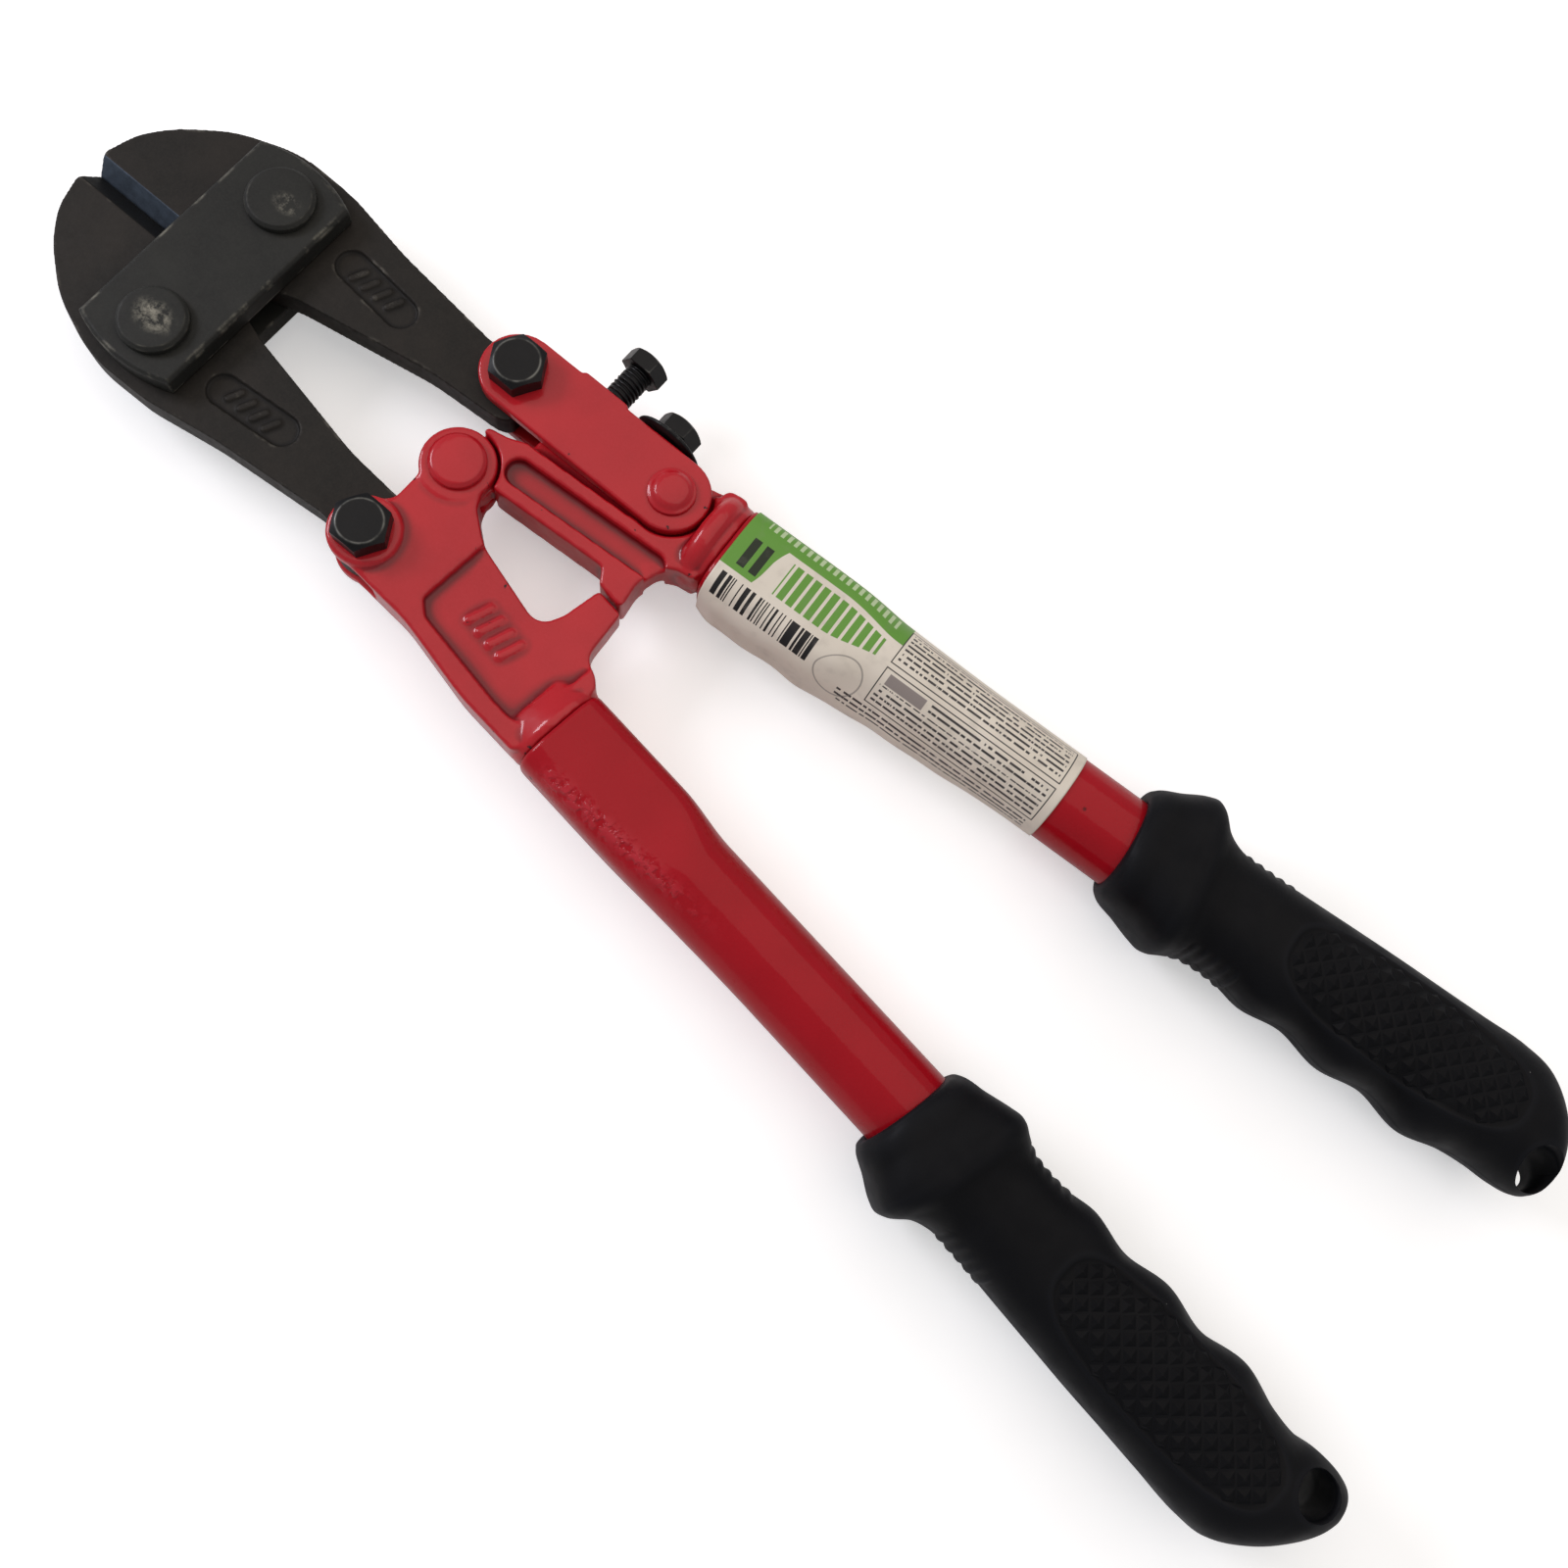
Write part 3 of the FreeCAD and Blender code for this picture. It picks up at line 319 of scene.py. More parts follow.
def blackOxide(name, look):
    # hot black oxide on steel: a thin brown-black skin, satin, rubbed lighter on the edges
    material, tree, shader = newMaterial(name, {"Specular IOR Level": look["shine"]})
    place = addNode(tree, "ShaderNodeTexCoord").outputs["Object"]
    relief, scuff, ring, ground = attributeSockets(tree, "relief", "scuff", "ring", "ground")
    # painted shade: inner corners are painted darker
    corner = throughNodes(tree, relief, [
        ("ShaderNodeMapRange", {"From Min": -0.1, "From Max": -0.8, "To Max": 0.6})])
    # worn places: short runs along the outer edges, rubbed patches on the rivets, the rim a spanner polishes
    edge = throughNodes(tree, relief, [("ShaderNodeMapRange", {"From Min": 0.2, "From Max": 0.75})])
    runs = mottle(tree, place, 4.5, look["wearFrom"], look["wearFrom"] + 0.2, look["wear"],
                  detail=5.0, rough=0.6)
    patch = mottle(tree, place, 1.9, 0.46, 0.66, 0.8, detail=8.0, rough=0.72)
    rim = mottle(tree, place, 2.5, 0.4, 0.62, 0.75, 0.15)
    worn = None
    for pattern, where in ((runs, edge), (patch, scuff), (rim, ring)):
        share = addNode(tree, "ShaderNodeMath", {"operation": "MULTIPLY"}, {0: pattern, 1: where}).outputs[0]
        if worn is not None:
            share = addNode(tree, "ShaderNodeMath", {"operation": "MAXIMUM"}, {0: worn, 1: share}).outputs[0]
        worn = share
    # painted light and shade on the ground cutting faces: the upper jaw's, above zero, is painted lighter and
    # bluish as if lit; the lower jaw's, below zero, is painted near black as shade
    litUpperBevel = layerColours(tree, look["ground"], [(mottle(tree, place, 1.6), "#3f464f")])
    shadedLowerBevel = throughNodes(tree, ground, [("ShaderNodeMath", {"operation": "MULTIPLY", 1: -1.0})])
    colour = layerColours(tree, look["dark"], [
        (mottle(tree, place, 11.0, 0.35, 0.65), look["brown"]),
        (mottle(tree, place, 0.45, 0.35, 0.75, 0.4), look["light"]), (corner, "#0c0b0a"),
        (worn, look["steel"]), (ground, litUpperBevel), (shadedLowerBevel, "#0b0b0b")])
    tree.links.new(colour, shader.inputs["Base Color"])
    bare = addNode(tree, "ShaderNodeMath", {"operation": "MAXIMUM"}, {0: worn, 1: ground}).outputs[0]
    metal = throughNodes(tree, bare, [("ShaderNodeMapRange", {"To Min": look["metal"], "To Max": 0.9})])
    tree.links.new(metal, shader.inputs["Metallic"])
    gloss = mottle(tree, place, 1.8, 0.3, 0.7, look["roughness"] + 0.12, look["roughness"])
    tree.links.new(gloss, shader.inputs["Roughness"])
    blast = addNode(tree, "ShaderNodeBump", {"Strength": look["blast"], "Distance": 0.04 * mm},
                    {"Height": mottle(tree, place, 0.35, 0.0, 1.0)})
    tree.links.new(blast.outputs[0], shader.inputs["Normal"])
    return material


def mouldedRubber(name, look):
    # soft PVC rubber from a sparked mould: near black, matt, with a faint cool painted sheen on raised places
    material, tree, shader = newMaterial(name, {
        "IOR": 1.5, "Specular IOR Level": look["shine"], "Sheen Weight": 0.03, "Sheen Roughness": 0.4,
        "Sheen Tint": linearColour("#8fa0c0")})
    place = addNode(tree, "ShaderNodeTexCoord").outputs["Object"]
    relief, = attributeSockets(tree, "relief")
    # painted sheen: raised places are painted a little lighter and cooler
    bloom = throughNodes(tree, relief, [
        ("ShaderNodeMapRange", {"From Min": 0.05, "From Max": 0.8, "To Max": 0.5})])
    lint = specks(tree, place, 7.0, 0.14, 0.02)
    colour = layerColours(tree, look["dark"], [
        (mottle(tree, place, 9.0), look["colour"]), (bloom, look["bloom"]), (lint, look["lint"])])
    tree.links.new(colour, shader.inputs["Base Color"])
    gloss = mottle(tree, place, 5.0, 0.3, 0.7, look["roughness"] + 0.1, look["roughness"] - 0.08)
    tree.links.new(gloss, shader.inputs["Roughness"])
    grain = addNode(tree, "ShaderNodeBump", {"Strength": 0.3, "Distance": 0.05 * mm},
                    {"Height": mottle(tree, place, 0.4, 0.0, 1.0)})
    tree.links.new(grain.outputs[0], shader.inputs["Normal"])
    return material


def rectangle(tree, sheet, box, within=None):
    # 1 inside the box (u from, u to, v from, v to), in mm on the label; times within, where that is given
    centre = ((box[0] + box[1]) / 2, (box[2] + box[3]) / 2, 0)
    half = ((box[1] - box[0]) / 2, (box[3] - box[2]) / 2, 1)
    away = throughNodes(tree, sheet, [
        ("ShaderNodeVectorMath", {"operation": "SUBTRACT", 1: centre}),
        ("ShaderNodeVectorMath", {"operation": "ABSOLUTE"}),
        ("ShaderNodeVectorMath", {"operation": "SUBTRACT", 1: half})])
    axes = addNode(tree, "ShaderNodeSeparateXYZ", None, {0: away}).outputs
    most = addNode(tree, "ShaderNodeMath", {"operation": "MAXIMUM"}, {0: axes[0], 1: axes[1]}).outputs[0]
    inside = throughNodes(tree, most, [("ShaderNodeMapRange", {"From Min": 0.04, "From Max": -0.04})])
    if within is not None:
        inside = addNode(tree, "ShaderNodeMath", {"operation": "MULTIPLY"}, {0: within, 1: inside}).outputs[0]
    return inside


def printedFilm(name, look):
    # satin printed paper-film: off-white, green bands and plain dark bars and lines, faint handling marks
    material, tree, shader = newMaterial(name, {"IOR": 1.5, "Specular IOR Level": 0.35, "Roughness": 0.42})
    place = addNode(tree, "ShaderNodeTexCoord").outputs["Object"]
    flat = addNode(tree, "ShaderNodeAttribute", {"attribute_name": "sheet"}).outputs["Vector"]
    axes = addNode(tree, "ShaderNodeSeparateXYZ", None, {0: flat}).outputs
    # the end of the green block slants
    slide = addNode(tree, "ShaderNodeMath", {"operation": "MULTIPLY_ADD", 1: 0.45}, {0: axes[1], 2: axes[0]})
    slanted = addNode(tree, "ShaderNodeCombineXYZ", None, {0: slide.outputs[0], 1: axes[1]}).outputs[0]
    layers = [(mottle(tree, place, 12.0), look["shade"])]
    for box, slants, ink in look["blocks"]:
        layers.append((rectangle(tree, slanted if slants else flat, box), ink))
    for box, pitch, inked, ink in look["strokes"]:
        stroke = throughNodes(tree, axes[0], [
            ("ShaderNodeMath", {"operation": "MULTIPLY", 1: 1 / pitch}),
            ("ShaderNodeMath", {"operation": "FRACT"}),
            ("ShaderNodeMath", {"operation": "LESS_THAN", 1: inked})])
        layers.append((rectangle(tree, flat, box, stroke), ink))
    # upright bars of random width, four to a millimetre
    column = throughNodes(tree, axes[0], [
        ("ShaderNodeMath", {"operation": "MULTIPLY", 1: 4.1}), ("ShaderNodeMath", {"operation": "FLOOR"})])
    dice = addNode(tree, "ShaderNodeTexWhiteNoise", {"noise_dimensions": "1D"}, {"W": column})
    bar = throughNodes(tree, dice.outputs["Value"], [
        ("ShaderNodeMath", {"operation": "GREATER_THAN", 1: 0.45})])
    layers.append((rectangle(tree, flat, look["bars"], bar), look["ink"]))
    # rows of thin broken lines inside thin frames
    row = throughNodes(tree, axes[1], [
        ("ShaderNodeMath", {"operation": "MULTIPLY", 1: 1 / look["rowPitch"]})])
    rowNumber = throughNodes(tree, row, [("ShaderNodeMath", {"operation": "FLOOR"})])
    onLine = throughNodes(tree, row, [
        ("ShaderNodeMath", {"operation": "FRACT"}),
        ("ShaderNodeMath", {"operation": "COMPARE", 1: 0.5, 2: 0.2})])
    cell = addNode(tree, "ShaderNodeCombineXYZ", None, {0: axes[0], 1: rowNumber}).outputs[0]
    cell = throughNodes(tree, cell, [("ShaderNodeVectorMath", {"operation": "MULTIPLY", 1: (1.5, 7.3, 1)})])
    noise = addNode(tree, "ShaderNodeTexNoise", {"Scale": 1.0, "Detail": 1.0}, {"Vector": cell})
    dash = throughNodes(tree, noise.outputs["Fac"], [
        ("ShaderNodeMath", {"operation": "GREATER_THAN", 1: 0.42})])
    dashes = addNode(tree, "ShaderNodeMath", {"operation": "MULTIPLY"}, {0: dash, 1: onLine}).outputs[0]
    layers += [(rectangle(tree, flat, box, dashes), look["smallInk"]) for box in look["texts"]]
    for low, high, near, far in look["frames"]:
        line = look["frameLine"]
        inner = rectangle(tree, flat, (low + line, high - line, near + line, far - line))
        edge = addNode(tree, "ShaderNodeMath", {"operation": "SUBTRACT"},
                       {0: rectangle(tree, flat, (low, high, near, far)), 1: inner})
        layers.append((edge.outputs[0], look["ink"]))
    # a clear round sticker: a faint grey rim
    u, v, radius = look["sticker"]
    gap = addNode(tree, "ShaderNodeVectorMath", {"operation": "DISTANCE", 1: (u, v, 0)}, {0: flat})
    rim = throughNodes(tree, gap.outputs["Value"], [
        ("ShaderNodeMath", {"operation": "COMPARE", 1: radius, 2: 0.16}),
        ("ShaderNodeMath", {"operation": "MULTIPLY", 1: 0.6})])
    layers += [(rim, look["rim"]), (mottle(tree, place, 3.0, 0.55, 0.85, 0.25), look["smudge"])]
    tree.links.new(layerColours(tree, look["paper"], layers), shader.inputs["Base Color"])
    crease = addNode(tree, "ShaderNodeBump", {"Strength": 0.35, "Distance": 0.3 * mm},
                     {"Height": mottle(tree, place, 5.0, 0.0, 1.0, detail=2.0)})
    tree.links.new(crease.outputs[0], shader.inputs["Normal"])
    return material


castIronEnamel = enamel("glossEnamelOnCastIron", {
    "colour": "#bd1823", "deep": "#ae121e", "light": "#c8303c", "pooledPaintAndShade": "#5b070f", "pool": 0.6,
    "crumb": "#c8404a", "bare": "#2a1012",
    "shine": 0.2, "roughness": 0.28, "coat": 0.5, "coatRoughness": 0.05, "peel": 0.5, "wave": 0.35,
    "pitSpacing": 4.2, "pitShare": 0.13, "chipFrom": 0.7})
tubeEnamel = enamel("glossEnamelOnSteelTube", {
    "colour": "#a80f1d", "deep": "#a00c19", "light": "#b02029", "pooledPaintAndShade": "#5a080f", "pool": 0.5,
    "crumb": "#c8404a", "bare": "#2a1012",
    "shine": 0.06, "roughness": 0.25, "coat": 0.32, "coatRoughness": 0.04, "peel": 0.35, "wave": 0.12,
    "pitSpacing": 8.0, "pitShare": 0.08, "chipFrom": 0.8})
jawSteel = blackOxide("blackOxideOnForgedSteel", {
    "dark": "#1f1d1a", "brown": "#282420", "light": "#302c27", "steel": "#77736a", "ground": "#4b545f",
    "metal": 0.2, "shine": 0.22, "roughness": 0.5, "wearFrom": 0.54, "wear": 0.5, "blast": 0.5})
plateSteel = blackOxide("blackOxideOnRolledPlate", {
    "dark": "#222220", "brown": "#292926", "light": "#31312d", "steel": "#9a9688", "ground": "#66707c",
    "metal": 0.2, "shine": 0.24, "roughness": 0.48, "wearFrom": 0.51, "wear": 0.48, "blast": 0.4})
boltSteel = blackOxide("blackZincOnBolts", {
    "dark": "#0a0a0b", "brown": "#0f0f10", "light": "#171719", "steel": "#85857f", "ground": "#66707c",
    "metal": 0.35, "shine": 0.35, "roughness": 0.33, "wearFrom": 0.5, "wear": 0.5, "blast": 0.2})
gripRubber = mouldedRubber("mouldedBlackRubber", {
    "dark": "#0b0b0d", "colour": "#0f0f11", "bloom": "#17181c", "lint": "#6f6f6b", "shine": 0.1,
    "roughness": 0.5})
labelFilm = printedFilm("printedLabelFilm", {
    "paper": "#e7decf", "shade": "#dbd1c1", "ink": "#1d1b1b", "smallInk": "#403c3b",
    "rim": "#6f6a66", "smudge": "#8f8880",
    # blocks of plain colour: (u from, u to, v from, v to), slanted end or not, ink
    "blocks": [((-3, 36.5, -9, 8.1), False, "#64993a"), ((-3, 13.0, 8.0, 12.9), True, "#64993a"),
               ((-3, 77, -9, 0.5), False, "#3b4a33"), ((37.8, 46.0, 13.7, 15.9), False, "#8f8580")],
    # rows of upright strokes, all alike: box, pitch, share inked, ink
    "strokes": [((3.4, 33.6, 2.6, 6.0), 1.5, 0.5, "#bccfa2"), ((11.4, 33.4, 9.2, 12.5), 2.05, 0.7, "#64993a"),
                ((1.8, 7.2, 9.4, 12.0), 2.7, 0.62, "#1f2a17")],
    "bars": (1.6, 24.5, 13.9, 20.4), "rowPitch": 1.12,
    "texts": [(37.2, 73.4, 3.9, 11.4), (47.2, 73.4, 13.4, 15.9), (37.2, 73.4, 16.2, 20.2),
              (31.0, 73.4, 21.4, 24.2)],
    "frames": [(36.4, 74.2, 3.1, 12.0), (36.4, 74.2, 12.9, 20.8)], "frameLine": 0.22,
    "sticker": (29.8, 19.3, 4.6)})
materialOfSlot = {"black_oxide_jaw": jawSteel, "black_oxide_plate": plateSteel, "black_fastener": boltSteel,
                  "red_casting": castIronEnamel, "red_tube": tubeEnamel, "grip_rubber": gripRubber}
print("materials made")


# metal pieces: softened copies of the CAD nodes

# voxel size in mm and how many smoothing passes each kind of piece gets
softness = {
    "casting": {"nodes": ["fixed_casting", "adjustable_casting"], "voxel": 0.34, "passes": 17},
    "lever": {"nodes": ["adjusting_lever"], "voxel": 0.28, "passes": 10},
    "forging": {"nodes": ["upper_jaw", "lower_jaw"], "voxel": 0.25, "passes": 3},
    "plate": {"nodes": ["front_link_plate", "back_link_plate"], "voxel": 0.2, "passes": 2},
    "jawRivet": {"nodes": ["upper_jaw_rivet", "lower_jaw_rivet"], "voxel": 0.13, "passes": 4},
    "paintedRivet": {"nodes": ["centre_rivet", "lever_rivet"], "voxel": 0.18, "passes": 16},
    "bolt": {"nodes": ["upper_toggle_bolt", "upper_toggle_nut", "lower_toggle_bolt", "lower_toggle_nut",
                       "lock_bolt", "push_screw"], "voxel": 0.11, "passes": 2},
    "washer": {"nodes": ["lock_washer"], "voxel": 0.13, "passes": 4},
}
# which way each hexagon faces: axis number and direction
hexagons = {"upper_toggle_bolt": (2, 1), "lower_toggle_bolt": (2, 1), "upper_toggle_nut": (2, -1),
            "lower_toggle_nut": (2, -1), "lock_bolt": (1, 1), "push_screw": (1, 1)}
# rubbed patch on a jaw rivet: x, y and reach in mm, and how strong; then how far each head is domed, in mm
scuffs = {"upper_jaw_rivet": (2.0, -0.2, 3.6, 0.8), "lower_jaw_rivet": (0.2, 0.4, 5.4, 1.0)}
domes = {"centre_rivet": 0.55, "lever_rivet": 0.9, "upper_jaw_rivet": 0.1, "lower_jaw_rivet": 0.1}
# cutting edges, in mm: length of the blade, place of the bevels, gap when closed, height drawn out
blade = {"length": 20.0, "bevelReach": 25.0, "bevelHalf": 3.6, "gap": 0.01, "drawn": 0.9}
# chamfered top of a hexagon: radius of its flat as a share of the width, slope, polished rim in mm
chamfer = {"flatShare": 0.43, "slope": math.radians(30), "rim": 0.16}


def camelName(node):
    words = node.split("_")
    return words[0] + "".join(word.capitalize() for word in words[1:])


def markGround(mesh, side):
    # the cutting bevels: sloping faces beside the line where the jaws meet
    places = coordinates(mesh) - np.array(centrePivot)
    normals = vertexNormals(mesh)
    tip = places[:, 0].min()
    near = (places[:, 0] < tip + blade["bevelReach"] * mm) & (np.abs(places[:, 1]) < blade["bevelHalf"] * mm)
    sloping = (normals[:, 1] * -side > 0.35) & (np.abs(normals[:, 2]) > 0.25)
    # the sign of the side picks the painted lit colour or the painted shade in the material
    storeValue(mesh, "ground", (near & sloping) * float(side))


def keenEdge(mesh, node, side):
    # rounding blunts the cutting edge; this draws it out again until the closed jaws all but touch
    cad = (coordinates(frame["nodes"][node].data) - np.array(centrePivot)) * [1, side, 1]
    reach = cad[:, 0].min() + blade["length"] * mm
    edge = blade["gap"] * mm
    places = coordinates(mesh)
    local = (places - np.array(centrePivot)) * [1, side, 1]
    onBlade = local[:, 0] < reach
    blunt, root = local[onBlade][:, 1].min(), edge + blade["drawn"] * mm
    share = np.clip((local[:, 1] - blunt) / (root - blunt), 0, 1)
    moved = np.where(onBlade & (local[:, 1] < root), edge + (root - edge) * share, local[:, 1])
    places[:, 1] = moved * side + centrePivot.y
    setCoordinates(mesh, places)


def markScuff(mesh, node):
    # rubbed patch on the top of a rivet head
    places = coordinates(mesh)
    box = [Vector(corner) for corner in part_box(node)]
    centre = (box[0] + box[1]) / 2
    x, y, reach, share = scuffs[node]
    top = smoothStep(places[:, 2], box[1].z - 0.3 * mm, box[1].z - 0.12 * mm)
    away = np.hypot(places[:, 0] - centre.x - x * mm, (places[:, 1] - centre.y - y * mm) * 1.4)
    storeValue(mesh, "scuff", top * share * (1 - smoothStep(away, 0.3 * reach * mm, reach * mm)))


def domeHead(mesh, node):
    # hammered rivet heads are domed: both ends fall away towards their rims
    places = coordinates(mesh)
    corners = [Vector(corner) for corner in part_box(node)]
    centre, reach = (corners[0] + corners[1]) / 2, (corners[1].x - corners[0].x) / 2
    radius = np.hypot(places[:, 0] - centre.x, places[:, 1] - centre.y) / reach
    height = places[:, 2] - centre.z
    top = corners[1].z - centre.z
    near = smoothStep(np.abs(height), top - 1.6 * mm, top - 0.2 * mm)
    places[:, 2] -= np.sign(height) * near * domes[node] * mm * np.clip(radius, 0, 1) ** 2.2
    setCoordinates(mesh, places)


def chamferHead(mesh, node):
    # turns the corners of a hexagon down from a round flat, and marks the rim of that flat
    axis, way = hexagons[node]
    flat = [i for i in range(3) if i != axis]
    cad = coordinates(frame["nodes"][node].data)
    top = (cad[:, axis] * way).max()
    head = cad[cad[:, axis] * way > top - 1.0 * mm][:, flat]
    turns = np.radians(np.arange(0, 180, 1.0))
    across = min(np.ptp(head @ np.array([math.cos(a), math.sin(a)])) for a in turns)
    centre = (head.min(0) + head.max(0)) / 2
    places = coordinates(mesh)
    radius = np.linalg.norm(places[:, flat] - centre, axis=1)
    height = places[:, axis] * way
    past = radius - chamfer["flatShare"] * across
    limit = top - np.clip(past, 0, None) * math.tan(chamfer["slope"])
    places[:, axis] = np.minimum(height, limit) * way
    setCoordinates(mesh, places)
    storeValue(mesh, "ring", np.exp(-(past / (chamfer["rim"] * mm)) ** 2) * (height > top - 0.5 * mm))


for kind, choice in softness.items():
    for node in choice["nodes"]:
        mesh = softCopy(node, choice["voxel"], choice["passes"])
        if kind == "forging":
            markGround(mesh, 1 if node.startswith("upper") else -1)
            keenEdge(mesh, node, 1 if node.startswith("upper") else -1)
        if node in scuffs:
            markScuff(mesh, node)
        if node in domes:
            domeHead(mesh, node)
        if node in hexagons:
            chamferHead(mesh, node)
        storeRelief(mesh, 0.06 * mm, 6)
        if kind == "casting":
            # a wide relief that finds deep channels, for the painted shade in the enamel
            storeRelief(mesh, 0.6 * mm, 80, "cavityShade")
        piece = placePiece(camelName(node), mesh, node, materialOfSlot[slotOf[node]])
        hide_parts(node)
        print("softened", node, len(mesh.polygons), "faces")


# handles: a frame for each, X along it from the grip's mouth, Y outwards, Z up

def handleFrame(prefix, side):
    tube = coordinates(frame["nodes"][prefix + "_tube"].data)
    grip = coordinates(frame["nodes"][prefix + "_grip"].data)
    middle = tube.mean(0)
    along = np.linalg.svd(tube - middle, full_matrices=False)[2][0]
    along = along if along[0] > 0 else -along
    gripStart = ((grip - middle) @ along).min()
    tubeStart = ((tube - middle) @ along).min() - gripStart
    mouth = middle + along * gripStart
    mouth[2] = centrePivot.z
    x = Vector((along[0], along[1], 0)).normalized()
    y = Vector((-x.y, x.x, 0)) * side
    turn = Matrix((x, y, Vector((0, 0, 1)))).transposed().to_4x4()
    return Matrix.Translation(Vector(mouth)) @ turn, tubeStart


handles = {"upper": handleFrame("upper", 1), "lower": handleFrame("lower", -1)}

gripShape = {
    "rings": 340, "around": 250,
    # outer point and inner point (along, side), half height, squareness of the section; all in mm
    "stations": [
        ((-1.2, 9.3), (1.0, -9.3), 9.3, 2.0), ((-1.5, 10.5), (1.4, -10.2), 10.3, 2.1),
        ((-0.9, 11.3), (2.4, -10.9), 10.9, 2.3), ((3.2, 13.5), (7.4, -12.1), 12.0, 2.7),
        ((7.4, 15.7), (12.3, -13.3), 12.9, 3.0), ((9.2, 16.2), (14.3, -13.7), 13.0, 3.0),
        ((10.9, 15.6), (15.8, -13.5), 12.8, 2.9), ((14.0, 12.9), (18.0, -12.4), 11.9, 2.7),
        ((17.5, 11.5), (20.6, -11.2), 11.2, 2.5), ((23.0, 11.3), (25.0, -10.7), 10.9, 2.4),
        ((29.0, 11.5), (29.6, -10.9), 10.8, 2.4), ((35.0, 11.8), (35.0, -11.9), 10.8, 2.4),
        ((44.0, 12.2), (44.0, -10.7), 10.8, 2.4), ((53.0, 12.6), (53.0, -12.5), 10.9, 2.4),
        ((62.0, 12.8), (62.0, -11.1), 10.9, 2.4), ((71.5, 13.1), (71.5, -13.1), 11.1, 2.4),
        ((80.0, 13.3), (79.5, -11.2), 11.1, 2.4), ((86.0, 12.4), (85.0, -10.8), 10.9, 2.3)],
    # the round butt of each grip, and where its knurled panel has its middle
    "upper": {"butt": [((91.0, 9.0), (90.2, -10.9), 10.2, 2.2), ((94.1, 5.2), (94.0, -10.4), 8.5, 2.1),
                       ((96.0, 1.3), (96.2, -8.7), 5.9, 2.0), ((97.0, -1.9), (97.3, -6.3), 2.8, 2.0)],
              "pole": (97.6, -4.2, 0.0), "panel": (58.5, 0.4)},
    "lower": {"butt": [((91.8, 8.4), (90.3, -11.9), 10.2, 2.2), ((95.6, 4.2), (95.4, -11.9), 8.7, 2.1),
                       ((98.4, 0.2), (98.4, -10.8), 6.2, 2.0), ((100.2, -3.4), (100.1, -8.4), 3.0, 2.0)],
              "pole": (100.6, -6.0, 0.0), "panel": (61.5, 0.2)},
    "ribCount": 5, "ribPitch": 2.3, "ribStart": 19.0, "ribHeight": 0.4,
    "panelHalf": (25.5, 9.0), "panelDepth": 0.4,
    "seamHeight": 0.1, "boreRadius": 8.72, "boreRings": (74.0, 40.0, 10.0, 1.5), "mouthSlant": 0.9,
    # the hanging hole has the draft of its core pin: height from the mid-plane and radius
    "hole": [(-14.0, 3.4), (-2.0, 3.9), (5.0, 4.4), (14.0, 4.4)], "holeSides": 72,
}


def gripSkin(shape, own):
    stations = shape["stations"] + own["butt"]
    table = np.array([[*outer, *inner, height, square] for outer, inner, height, square in stations])
    middles = (table[:, 0:2] + table[:, 2:4]) / 2
    steps = np.linalg.norm(np.diff(middles, axis=0), axis=1) + 0.5 * np.abs(np.diff(table[:, 4])) + 0.4
    knots = np.concatenate([[0.0], np.cumsum(steps)])
    t = np.linspace(0, knots[-1], shape["rings"])
    row = curveThrough(knots, table, t)
    angle = np.linspace(0, 2 * math.pi, shape["around"], endpoint=False)
    c, s = np.cos(angle), np.sin(angle)
    power = (2 / row[:, 5])[:, None]
    across = np.sign(c) * np.abs(c) ** power                       # 1 on the outer side, -1 on the inner side
    upright = np.sign(s) * np.abs(s) ** power
    middle = ((row[:, 0:2] + row[:, 2:4]) / 2)[:, None, :]
    half = ((row[:, 0:2] - row[:, 2:4]) / 2)[:, None, :]
    flat = middle + half * across[:, :, None]
    skin = np.dstack([flat, upright * row[:, 4][:, None]])
    # outward direction of the section, good enough to raise the small details along
    away = np.dstack([np.zeros_like(across), across / np.maximum(np.abs(half[:, :, 1]), 1e-3),
                      upright / np.maximum(row[:, 4], 1e-3)[:, None]])
    away /= np.linalg.norm(away, axis=2, keepdims=True) + 1e-9
    x, y, z = skin[..., 0], skin[..., 1], skin[..., 2]
    lift = np.zeros(x.shape)
    ribEnd = shape["ribStart"] + shape["ribPitch"] * shape["ribCount"]
    inRibs = (x > shape["ribStart"]) & (x < ribEnd)
    wave = np.sin((x - shape["ribStart"]) / shape["ribPitch"] * math.pi) ** 2
    lift += inRibs * (wave - 0.35) * shape["ribHeight"] * smoothStep(np.abs(across), 0.8, 0.94)
    (cx, cy), (hx, hy) = own["panel"], shape["panelHalf"]
    ring = (np.abs((x - cx) / hx) ** 2.8 + np.abs((y - cy) / hy) ** 2.8) ** (1 / 2.8)
    lift -= shape["panelDepth"] * (1 - smoothStep(ring, 0.94, 1.0))
    inBody = smoothStep(x, 20, 24)
    lift += shape["seamHeight"] * np.exp(-(z / 0.35) ** 2) * inBody * (np.abs(across) > 0.5)
    return skin + away * lift[..., None]


